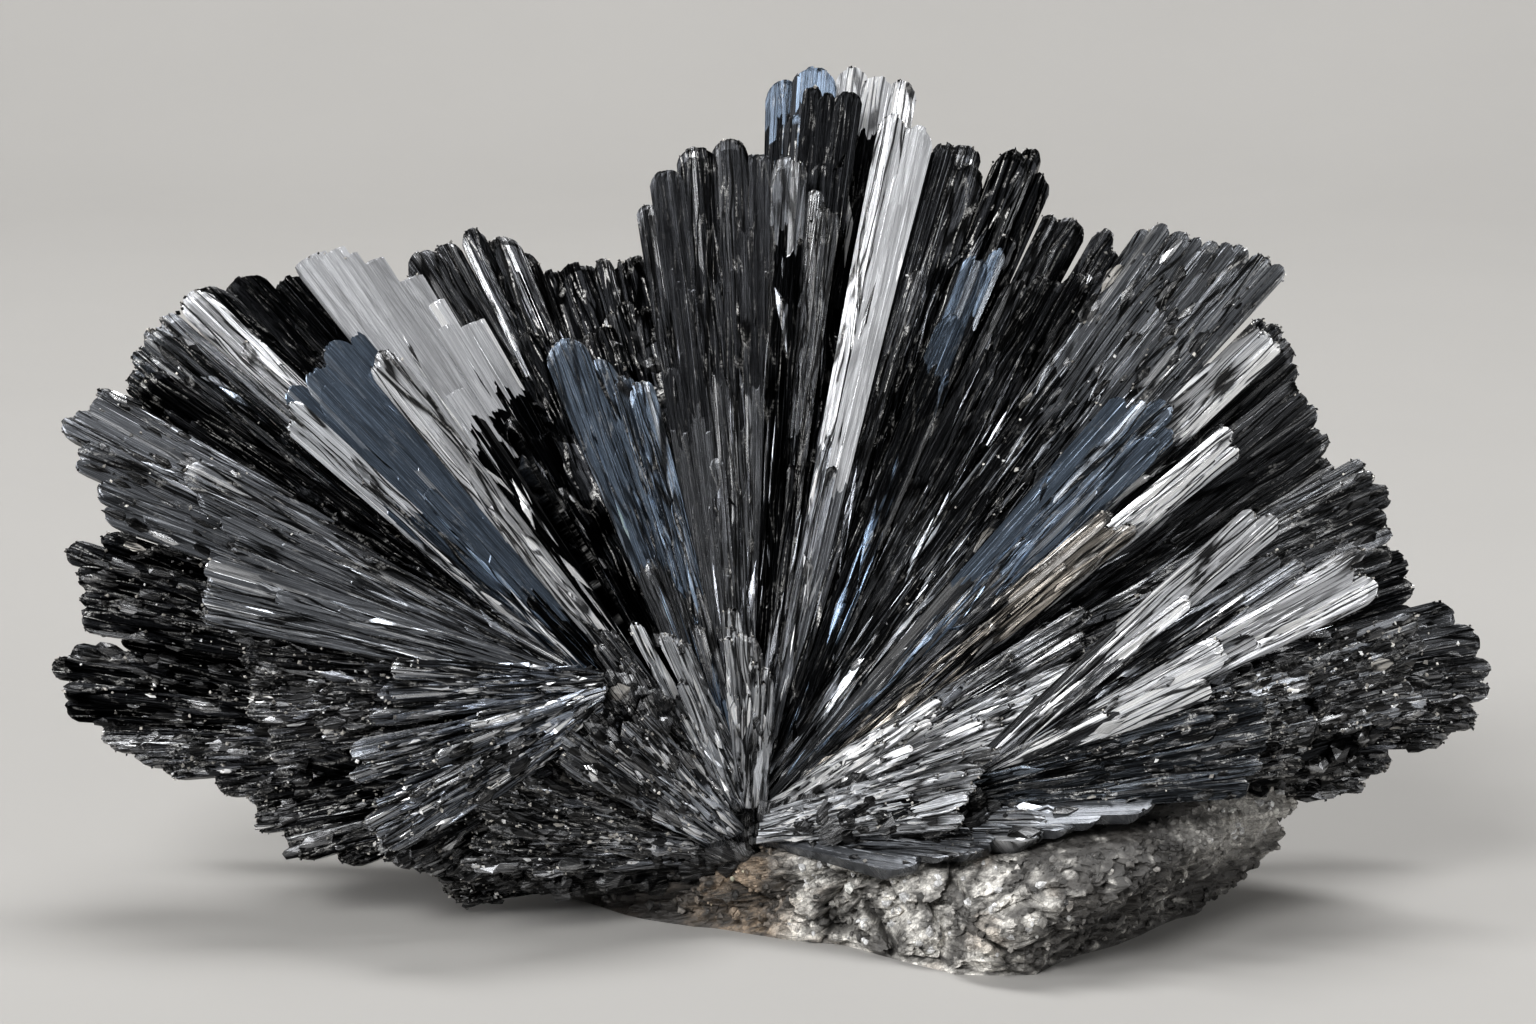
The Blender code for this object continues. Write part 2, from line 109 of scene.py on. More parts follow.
UPPER_FAN = [
    Sheaf((-54.8, 42.5, 6), (-53, 46.5, 6), 3, "slate", fade=("black", 0.6), rough=0.1),
    Sheaf((-51, 47.6, 8), (-50.2, 48, 8), 1, "silver", fade=("dark", 0.4)),
    Sheaf((-41.8, 39.5, 3), (-36.5, 45, 5), 4, "steelblue", calm=0.75, fade=("black", 0.55, 0.4)),
    Sheaf((-42, 36.5, 2), (-41, 38, 2), 2, "steel", calm=0.2, fade=("blue", 0.76)),
    Sheaf((-33.8, 42.3, 3.5), (-33.2, 42.7, 3.5), 1, "silver", calm=0.4, fade=("slate", 0.45)),
    Sheaf(
        (-40.2, 51.2, 7), (-24.5, 44.5, 11), 8, "silver", 4,
        ragged=0.1, calm=0.95, fade=("black", 0.5, 0.9),
    ),
    Sheaf((-22, 38, 9), (-20, 35, 9), 2, "black"),
    Sheaf((-17.6, 44, 6), (-10, 40, 6), 4, "steelblue", calm=0.3, fade=("grey", 0.55, 0.5)),
    Sheaf((-9.6, 56, 8), (0.8, 60.5, 8), 5, "dark", 3.5, ragged=0.4, calm=0.7, fade=("grey", 0.62)),
    Sheaf((2.6, 61, 7), (4.4, 60.3, 7), 1, "slate", calm=0.5, fade=("black", 0.9)),
    Sheaf((5.6, 57, 8), (7, 55, 8), 2, "grey", fade=("black", 0.6)),
    Sheaf((5.4, 66.9, 13), (9.4, 67.4, 13), 3, "black", calm=0.85),
    Sheaf((13, 64.8, 10), (15.7, 63.4, 10), 2, "bright", calm=0.45, fade=("slate", 0.5)),
    Sheaf((17.2, 61.5, 11), (20, 59.5, 11), 2, "dark", calm=0.4),
    Sheaf((23.5, 61, 11), (25.8, 58.5, 11), 2, "black"),
    Sheaf((20, 51.2, 7), (22, 51.6, 7), 2, "blue", calm=0.8, fade=("black", 0.82, 0.86)),
    Sheaf((24, 50, 9), (30, 50, 10), 4, "dark", calm=0.2, fade=("grey", 0.6)),
    Sheaf(
        (35.8, 54.2, 7), (47.9, 50.8, 8), 9, "slate", 0.5,
        ragged=0.5, calm=0.35, fade=("dark", 0.72, 0.66), rough=0.1,
    ),
    Sheaf((46, 46, 6), (47.4, 45, 6), 2, "dark"),
    Sheaf((45.3, 45.3, 5), (47.3, 43.5, 5), 3, "bright", fade=("dark", 0.8)),
    Sheaf((49.3, 40.5, 6), (49.5, 38.5, 6), 2, "grey"),
    Sheaf((32.5, 38, 2), (38, 36, 2), 4, "steelblue", 1.5, calm=0.5, fade=("grey", 0.6)),
    Sheaf((43.2, 36.2, 3), (44.2, 34.4, 3), 3, "silver", fade=("dark", 0.72)),
    Sheaf((32, 28.6, 0), (34, 26.5, 0), 3, "brown", calm=0.0, fade=("dark", 0.7, 0.6)),
    Sheaf((31, 21, 1), (30, 15.5, 0), 5, "grey", calm=0.0, fade=("steel", 0.6), stray=0.6),
    Sheaf((29.5, 15, -2), (28.5, 9, -4), 5, "steel", calm=0.0, fade=("bright", 0.65), stray=1.0),
    Sheaf((17, 12.5, -3), (15, 8, -4), 5, "bright", calm=0.0, fade=("silver", 0.5), stray=1.5),
    Sheaf((-2.4, 20, -1), (1.6, 15, -1), 5, "steel", calm=0.0, fade=("silver", 0.6), stray=1.4),
    Sheaf((-10, 18.5, 0), (-7.5, 18, 0), 4, "steel", calm=0.0, fade=("slate", 0.5), stray=1.4),
    Sheaf((-13.5, 19, 1), (-13.5, 16, 1), 4, "grey", rough=0.15, stray=1.0),
]

WING_ROOT = (-17, 14.5, 2)
LEFT_WING = [
    Sheaf((-58.3, 39.5, 1), (-57, 28, -3), 8, "slate", 4, calm=0.5, fade=("grey", 0.6), rough=0.1),
    Sheaf((-50.5, 33, -3), (-47, 26, -4), 4, "slate", calm=0.3, fade=("grey", 0.6)),
    Sheaf((-55.5, 40.6, 2), (-50, 37, 2), 3, "black"),
    Sheaf((-48, 24.3, -8), (-49, 19.3, -9), 4, "slate", root=(-19, 14, -5), calm=0.6),
    Sheaf((-57.5, 26.5, 4), (-59.5, 18.5, 2), 5, "black", 3, root=(-20, 13, 5), ragged=1.5, rough=0.3),
    Sheaf((-62, 16.5, 5), (-60.8, 10.5, 5), 4, "black", root=(-18, 8, 6), ragged=1.5, rough=0.3),
    Sheaf((-58.8, 9, 6), (-46, 3.3, 4), 6, "dark", root=(-18, 8, 6), ragged=1.5, rough=0.5),
    Sheaf((-46.8, 16.2, -4), (-42, 7, -5), 6, "dark", root=(-22, 12, -2), ragged=1.5, rough=0.7),
    Sheaf((-32, 15.8, -9), (-34, -1.8, -9), 11, "bluesilver", 3, root=(-13.8, 11.8, -6), stray=1.1),
    Sheaf((-28, 8, -12), (-30, -1, -12), 6, "bluesilver", 1, root=(-13.8, 11.8, -6), rough=0.2, stray=1.3),
    Sheaf((-46, 2.8, 0), (-37.5, -2.6, -1), 4, "black", root=(-16, 6, 0), ragged=1.5, rough=0.6),
    Sheaf((-34, -2, -4), (-27, -4.5, -2), 4, "grey", root=(-16, 6, 0), ragged=1.5, rough=0.8),
    Sheaf((-18, 6.5, -10), (-10, 10.6, -8), 6, "slate", 1, root=(-2, -1, 0), rough=0.2, stray=1.0),
    Sheaf((-24.5, 5, -9), (-26, -2, -9), 7, "grey", root=(-3, -1, 1), ragged=1.5, rough=0.7, stray=1.5),
    Sheaf((-30, -3, 2), (-26, -6.5, 4), 5, "black", root=(0, -2, 4), ragged=1.5, rough=0.8),
]

RIGHT_WING = [
    Sheaf((54.5, 33, 5), (58.3, 25, 3), 6, "grey", 1, root=(20, 12, 2), rough=0.12),
    Sheaf((58.2, 24.5, 4), (60, 20, 3), 3, "dark", root=(22, 10, 2)),
    Sheaf((63, 20, 2), (65.3, 12.5, 0), 4, "grey", 1.2, root=(25, 10, 0), ragged=1.5, rough=0.3, calm=0.4),
    Sheaf((64.5, 10.5, 1), (61.5, 8, 1), 3, "dark", root=(25, 8, 0), ragged=1.5, rough=0.8),
    Sheaf((58.5, 6.5, 1), (53.5, 3.5, 1), 4, "grey", root=(24, 6, 1), ragged=1.5, rough=1.0),
    Sheaf((24, 11, -3), (24.5, 8, -4), 4, "silver", calm=0.0, stray=1.0),
    Sheaf((36, 3.2, -10), (14, -2.5, -8), 7, "slate", root=(2, 0, -1), calm=0.5, rough=0.1),
]

BLOCK_ROOT = (17, 2.5, -4)
RIGHT_BLOCK = [
    Sheaf((44.6, 28.1, -5), (46.2, 26.4, -5), 2, "silver", fade=("grey", 0.55), calm=0.35, ragged=2),
    Sheaf((47.5, 24.5, -6), (50, 22.5, -6), 3, "slate", fade=("dark", 0.8)),
    Sheaf((54.5, 24.8, -6), (57.8, 22.5, -6), 3, "silver", fade=("slate", 0.6), calm=0.35, ragged=2),
    Sheaf((59, 19, -4), (60.5, 11, -4), 5, "slate", ragged=1.5, rough=1.0),
    Sheaf((42, 16.9, -10), (42.3, 13.2, -10), 3, "bright", fade=("grey", 0.6), calm=0.35, ragged=2),
    Sheaf((50, 15, -9), (50, 6, -9), 6, "slate", ragged=1.5, rough=1.0),
    Sheaf((45, 11.5, -13), (43.5, 3.5, -13), 5, "navy", 2.5, calm=0.35, ragged=0.8, rough=0.15),
]

FILLERS = [
    Sheaf((-57.5, 21, 9), (-58, 11, 9), 4, "black", root=(-18, 10, 9)),
    Sheaf((-20.5, 44, 12), (-13, 45.5, 12), 5, "black", rough=0.1),
    Sheaf((22, 7.5, -8), (19, 1, -9), 5, "steel", root=(1, 0, -2), calm=0.0, stray=1.0),
]

REAR_ROOT = (2, 6, 17)
REAR_TIERS = [
    (52, 42, 21, 9, 6),
    (37, 31, 29, 7, 5),
    (21, 17, 35, 5, 4),
]
REAR_FIRST_ANGLE = math.radians(3)
REAR_LAST_ANGLE = math.radians(176)
REAR_REACH = (0.9, 1.06)
REAR_UNEVEN = 2.0
REAR_TONES = ("dark", "grey", "slate", "navy")

CORE_LUMPS = [
    ((0, 24, 15), (34, 22, 8)),
    ((-22, 8, 9), (24, 8, 8)),
    ((30, 8, 8), (24, 7, 8)),
    ((0, -1, 8), (13, 4, 9)),
    ((-12, -2, 6), (14, 4, 7)),
    ((-14, 9, 1), (6, 5, 8)),
    ((40, 9, 1), (16, 6, 7)),
    ((16, 1, 2), (13, 4, 9)),
]

QUARTZ_OUTLINE = [
    (-24, 14), (-6, -1), (8, -6), (18, -15), (25, -14.5), (33, -4),
    (41, 3), (38, 16), (22, 26), (0, 27), (-18, 24),
]
QUARTZ_LEVELS = [(0, 1.0, 0), (2.5, 1.07, 1.5), (5, 1.1, 3.5), (7.3, 1.08, 7), (9, 0.93, 9)]
QUARTZ_RISE = 0.02
QUARTZ_RISE_FROM = 22

# ---------------------------------------------------------------------------------------------
# One lath: a long blade whose face is split into splinters that step up and down along it.

LATH_SHARE = (0.6, 1.4)
LATH_OVERLAP = 1.18
LATH_WIDTHS = (1.4, 5.2)
OUTER_LATH = 0.7
SHORT_LATH_WIDTH = 0.35
LOOSE_THICKNESS = 0.6
THICKNESS_SHARE = (0.28, 0.5)
THICKNESS_RANGE = (0.45, 1.9)
SPLINTER_WIDTH = 0.52
CUT_WANDER = 0.3
EDGE_INSET = 0.05

# Where a splinter breaks off and steps, and how.
BREAK_SPACING = 12.0
BREAK_PLACE = (0.3, 0.9)
BREAK_SLANT = 1.6
FIRST_BREAK = 0.5
LOWEST_STEPS = (0.4, 0.6)
STEP_HEIGHT = 0.14
STEP_RISE = 0.06
SPLINTER_TILT = 0.24

# The lath as a whole: how it rolls, rises, bends and sways. It is flat and narrow at its root, and
# its back has a few columns of points and is thinnest at the root and at the tip.
LATH_ROLL = 0.3
LATH_LEVEL = (-0.3, 0.2)
LATH_BEND = (-0.5, 0.5)
LATH_SWAY = (-0.25, 0.25)
SWAY_ANGLE = 4
SWAY_PHASES = 99
LATH_CROWN = (-0.02, 0.08)
ROOT_RISE = 5
ROOT_FLATNESS = 0.2
NARROWEST_ROOT = 0.765
ROOT_NARROWING = 0.2
BACK_COLUMNS = np.array((0.95, 0.45, -0.1, -0.5, -0.95))
BACK_UNEVEN = (0.75, 1.15)
BACK_AT_ROOT = 0.4
BACK_THINNING = 0.55

# The tip: its rows of points, how it is rounded or square, how far it droops and crumbles, and
# the painted highlight along its rim.
TIP_ROWS = (2.0, 1.0, 0.45, 0.15, 0.0)
TIP_ROUND = (0.45, 0.75)
TIP_ARC = 0.98
SQUARE_FROM = 0.88
SQUARE_SHARE = 0.85
TIP_RAGGED = 0.22
TIP_DROOP = 0.3
TIP_DROOP_REACH = 1.2
TIP_GRAIN = 0.05
TIP_GRAIN_REACH = 0.6
PAINTED_RIM_HIGHLIGHT = 0.16
PAINTED_RIM_REACH = 0.2

# A lath is one of these steps calmer than its sheaf, unless the sheaf strays, and one of a rough
# sheaf isn't calm at all. A wholly calm lath loses the given share of each unevenness.
CALM_STEPS = (0.0, 0.1, 0.3, 0.5)
MOST_CALM = 0.95
ROUGH_FROM = 0.4
STRAYS_FROM = 0.5
CALM_TAKES = {
    "flashes": 0.7, "contrast": 0.75, "slant": 0.6, "steps": 0.95, "roll": 0.92, "bend": 0.9,
    "grain": 0.7, "shade": 0.7, "wear": 0.95, "edges": 0.6, "slivers": 0.7, "shards": 0.9,
}

# Shades multiply the tone. A pale tone, which is one whose flashes are weak, is even across its
# splinters, and a very bright shade loses its colour. Flashes are painted glints, and the greyer
# colour of a very bright shade is painted glare.
EVEN_GAIN = 2.5
EVEN_CALM = 0.65
EVEN_BREAKS = 0.5
FLASH_RANGE = (0.5, 1.2)
SHADE_SPREAD = 0.85
SHADE_DROP = 0.3
LEAST_CONTRAST = 0.4
FULL_CONTRAST_GAIN = 9
LATH_SHADE_SPREAD = 0.35
# Splinter edges are darkened or brightened at random: partly dark cracks and pale edges, partly painted
# shade and painted highlight across each splinter.
LEFT_EDGE_SHADES = (0.1, 1.1)
RIGHT_EDGE_SHADES = (0.1, 0.3, 0.6, 1.0, 1.0, 2.5, 4.0)
# Painted shade in the creases at a lath's outer edges.
CREASE_SHADE = (0.1, 0.7)
BACK_SHADE = 0.5
GLARE_FROM = 1.2
GLARE_SLOPE = 0.5
MOST_GLARE = 0.7
FADE_WANDER = 0.04
FADE_JITTER = 0.025
TEXTURE_RANGE = 500

# Wear pales a lath at its tip, all over where it is rough, and along some of its edges.
TIP_WEAR_REACH = 0.9
LOOSE_WEAR = 0.3
ROUGH_WEAR = 0.35
EDGE_WEAR = 0.75
EDGE_WEAR_SHARE = 0.45
EDGE_WEAR_AT = (0.5, 1)
EDGE_WEAR_REACH = (0.15, 0.5)
EDGE_WEAR_PEAK = 1.5

# Chips are split off the laths and lie on them: their widths and lengths, how far they stray and
# how many lie on a lath 40 mm long.
Chips = namedtuple("Chips", "widths lengths stray count")
SLIVERS = Chips((0.1, 0.4), (2.5, 12), 0.25, 13)
SHARDS = Chips((0.4, 1.1), (2.5, 12), 0.9, 4)
FLAKES = Chips((0.2, 0.6), (1.0, 4.5), 0.2, 13)
CHIPPED_LENGTH = 40.0

# Grains on a lath's rim, and the knobs and crumbs on a rough lath 30 mm long.
RIM_GRAINS = 11
RIM_GRAIN_SIZE = (0.07, 0.25)
RIM_GRAIN_SPREAD = 0.08
RIM_GRAIN_DROP = 0.05
NO_GRAINS_CALM = 0.5
ROUGH_LENGTH = 30
KNOBS_PER_LATH = 46
KNOB_SIZE = (0.35, 0.9)
CRUMBS_PER_LATH = 56
CRUMB_SIZE = (0.08, 0.3)
# Chips, knobs and crumbs lie above the face by this share of a step and of the crown.
OVER_STEP = 0.4
OVER_CROWN = 0.6

# Shorter laths that lie over a sheaf: how many there are to each of its laths, and the ranges of
# their widths, of the share of the length that they reach, and of how far they are lifted.
Overlay = namedtuple("Overlay", "number width reach lift")
BROKEN = Overlay(0.8, (0.4, 0.9), (0.35, 0.93), (0.15, 0.55))
PLATES = Overlay(0.4, 1.2, (0.72, 0.96), (0.06, 0.14))
STRAYS = Overlay(1.7, (0.25, 0.6), (0.3, 0.97), (0.2, 0.9))
STRAY_WIDTH = 0.8
STRAY_POINT = 2.2
STRAY_GLOWS = (0.5, 1.0, 2.2)
STRAY_ROUNDING = 0.6
# How far the tips and the roots of a sheaf that strays go aside, and its tips go in depth.
STRAY_ASIDE = 0.6
STRAY_ROOT = 0.3
STRAY_DEPTH = (-0.6, 0.3)


def uneven(kind, calm):
    """How much of an unevenness is left on a lath that is this calm."""
    return 1 - CALM_TAKES[kind] * calm


def face_point(across, up, depth):
    """A point on the fan, in millimetres."""
    flare = 1 + depth / FLARE_LENGTH
    across = FLARE_AXIS[0] + (across - FLARE_AXIS[0]) * flare
    up = FLARE_AXIS[1] + (up - FLARE_AXIS[1]) * flare
    y = up * math.sin(FACE_LEAN) + depth * math.cos(FACE_LEAN)
    z = up * math.cos(FACE_LEAN) - depth * math.sin(FACE_LEAN)
    return ROOT_AT + np.array((across, y, z))


def unit(vector):
    """The vector at length one."""
    return vector / np.linalg.norm(vector)


# What each point carries, with the kind and the field of its attribute.
LAYERS = {
    "place": ("FLOAT_VECTOR", "vector"),
    "tint": ("FLOAT_COLOR", "color"),
    "metal": ("FLOAT", "value"),
    "worn": ("FLOAT", "value"),
    "calm": ("FLOAT", "value"),
}


class Shapes:
    """Closed shapes that are gathered into one mesh."""

    def __init__(self):
        self.points, self.loops, self.sizes, self.count = [], [], [], 0
        self.layers = {key: [] for key in LAYERS}

    def add(self, points, faces, place, tint, metal, worn, calm=0.0):
        """faces is a list of arrays, each with one face per row."""
        for face in faces:
            self.loops.append((face + self.count).ravel())
            self.sizes.append(np.full(len(face), face.shape[1]))
        self.points.append(points)
        for (key, (kind, _)), values in zip(LAYERS.items(), (place, tint, metal, worn, calm)):
            shape = len(points) if kind == "FLOAT" else (len(points), 3)
            self.layers[key].append(np.broadcast_to(values, shape))
        self.count += len(points)

    def make(self, name, material):
        mesh = bpy.data.meshes.new(name)
        loops, sizes = np.concatenate(self.loops), np.concatenate(self.sizes)
        mesh.vertices.add(self.count)
        mesh.vertices.foreach_set("co", (np.concatenate(self.points) * MM).ravel())
        mesh.loops.add(len(loops))
        mesh.loops.foreach_set("vertex_index", loops.astype(np.int32))
        mesh.polygons.add(len(sizes))
        mesh.polygons.foreach_set("loop_start", (np.cumsum(sizes) - sizes).astype(np.int32))
        mesh.polygons.foreach_set("loop_total", sizes.astype(np.int32))
        mesh.update(calc_edges=True)
        for key, (kind, field) in LAYERS.items():
            values = np.concatenate(self.layers[key])
            if field == "color":
                values = np.hstack([values, np.ones((self.count, 1))])
            layer = mesh.attributes.new(key, kind, "POINT")
            layer.data.foreach_set(field, values.astype(np.float32).ravel())
        mesh.shade_flat()
        mesh.materials.append(material)
        piece = bpy.data.objects.new(name, mesh)
        bpy.context.scene.collection.objects.link(piece)
        return piece


def zipper(first, second):
    """Triangles between two rows of points that run the same way, as (row, index) numbers."""
    ends, a, b = [], 0, 0
    while a < len(first) - 1 or b < len(second) - 1:
        step_a = b == len(second) - 1 or (a < len(first) - 1 and first[a + 1] < second[b + 1])
        if step_a:
            ends.append((a, len(first) + b, a + 1))
            a += 1
        else:
            ends.append((a, len(first) + b, len(first) + b + 1))
            b += 1
    return np.array(ends)


def splinter_shade(tone, calm, rng):
    """How bright one stretch of a splinter is: most are dim, and a few flash as a painted glint."""
    share, gain = tone[2:]
    if rng.random() < share * uneven("flashes", calm):
        return gain * rng.uniform(*FLASH_RANGE)
    contrast = min(1.0, max(LEAST_CONTRAST, math.log(gain) / math.log(FULL_CONTRAST_GAIN)))
    spread = SHADE_SPREAD * uneven("contrast", calm) * contrast
    return math.exp(rng.gauss(-SHADE_DROP * (1 - calm) * contrast, spread))


def rows_of_splinter(end, breaks, calm, tones, fade_at, rng):
    """One splinter's stations for its two edges and its middle, with its heights and shades.

    It breaks off where the tone changes, and the last value says how many rows lie below that.
    """
    slant = BREAK_SLANT * uneven("slant", calm)
    room = (min(end) - TIP_ROWS[0] - 2 * slant) / breaks
    spots = [(number + rng.uniform(*BREAK_PLACE)) * room for number in range(breaks)]
    above_from, below = 0, 0
    if fade_at >= min(end) - TIP_ROWS[0]:
        above_from = breaks + 1
        below = 2 * breaks + 1 + sum(back >= min(end) - fade_at for back in TIP_ROWS)
    elif fade_at > 0:
        nearest = min(range(breaks), key=lambda number: abs(spots[number] - fade_at))
        spots[nearest] = min(max(fade_at, FIRST_BREAK), min(end) - TIP_ROWS[0] - 1.1 * slant)
        above_from = nearest + 1
        below = 2 * above_from
    point = rng.uniform(-1, 1) * slant
    skew = rng.uniform(-1, 1) * slant
    quiet = uneven("steps", calm)
    stations, heights, tilts, shades, pieces = [], [], [], [], []
    for number in range(breaks + 1):
        pieces.append((
            rng.uniform(-1, 1) * STEP_HEIGHT * quiet,
            rng.uniform(-1, 1) * STEP_HEIGHT * quiet,
            rng.uniform(-1, 1) * SPLINTER_TILT * quiet,
            splinter_shade(tones[number < above_from], calm, rng),
        ))
    for side in (-1, 0, 1):
        shift = skew * side * 0.5 + (point if side == 0 else 0.0) * 0.5
        line = [0.0]
        for at in spots:
            for lowest, rise in zip(LOWEST_STEPS, (-STEP_RISE, STEP_RISE)):
                line.append(max(lowest, at + shift + rise))
        line += [end[side + 1] - back for back in TIP_ROWS]
        stations.append(line)
    for number, (start, finish, tilt, shade) in enumerate(pieces):
        share = (0, 1) if number < breaks else np.linspace(0, 1, len(TIP_ROWS) + 1)
        heights += [start + (finish - start) * value for value in share]
        tilts += [tilt] * len(share)
        shades += [shade] * len(share)
    return np.array(stations).T, np.array(heights), np.array(tilts), np.array(shades), below


Face = namedtuple("Face", "columns y height shade faded round_off fade_share level_out")


def lath_face(length, full_length, width, calm, pointed, spot, sheaf, rng):
    """The face of a lath, split into splinters with three columns of points each.

    y, height, shade and faded are tables with a row for each station along the lath. faded is
    true where a point has the tone nearer the root.
    """
    splinters = max(2, round(width / SPLINTER_WIDTH))
    cuts = np.linspace(-1, 1, splinters + 1)
    cuts[1:-1] += [rng.uniform(-CUT_WANDER, CUT_WANDER) * 2 / splinters for _ in range(splinters - 1)]
    square = max(0, sheaf.calm - SQUARE_FROM) / (MOST_CALM - SQUARE_FROM)
    round_off = width * rng.uniform(*TIP_ROUND) * pointed * (1 - SQUARE_SHARE * square)
    tones = (TONES[sheaf.tone], TONES[sheaf.fade[0] if sheaf.fade else sheaf.tone])
    fade_share = 0.0
    if sheaf.fade:
        fade_share = sheaf.fade[1] + (sheaf.fade[-1] - sheaf.fade[1]) * spot
        fade_share += rng.uniform(-1, 1) * FADE_WANDER
    gain = TONES[sheaf.tone][3]
    is_pale = gain < EVEN_GAIN
    breaks = max(1, round(length / BREAK_SPACING * (EVEN_BREAKS if is_pale else 1.0)))
    level_out = max(calm, EVEN_CALM if is_pale else 0.0)
    columns, y, height, shade, faded = [], [], [], [], []
    for low, high in zip(cuts[:-1], cuts[1:]):
        middle, inset = (low + high) / 2, EDGE_INSET / width
        across = (low + inset, middle, high - inset)
        short = abs(rng.gauss(0, TIP_RAGGED)) * min(1, sheaf.ragged)
        end = [length - short - round_off * (1 - math.sqrt(1 - TIP_ARC * at**2)) for at in across]
        fade_at = (fade_share + rng.uniform(-1, 1) * FADE_JITTER) * full_length if sheaf.fade else 0.0
        line, rise, tilts, shades, below = rows_of_splinter(end, breaks, calm, tones, fade_at, rng)
        # Partly painted shade and highlight at the splinter's two edges.
        edges = (rng.uniform(*LEFT_EDGE_SHADES), 1.0, min(gain, rng.choice(RIGHT_EDGE_SHADES)))
        for at, stations, edge in zip(across, line.T, edges):
            columns.append(at)
            y.append(stations)
            height.append(rise + tilts * (at - middle) * width / 2)
            shade.append(shades * (edge + (1 - edge) * level_out))
            faded.append(np.arange(len(line)) < below)
    tables = (np.array(columns).T for columns in (y, height, shade, faded))
    return Face(np.array(columns), *tables, round_off, fade_share, level_out)


def tube_quads(rows, around):
    """The faces round a tube whose points run row by row."""
    ring = np.arange(around)
    after = (ring + 1) % around
    start = (np.arange(rows - 1) * around)[:, None]
    quads = [start + ring, start + after, start + around + after, start + around + ring]
    return np.stack(quads, -1).reshape(-1, 4)


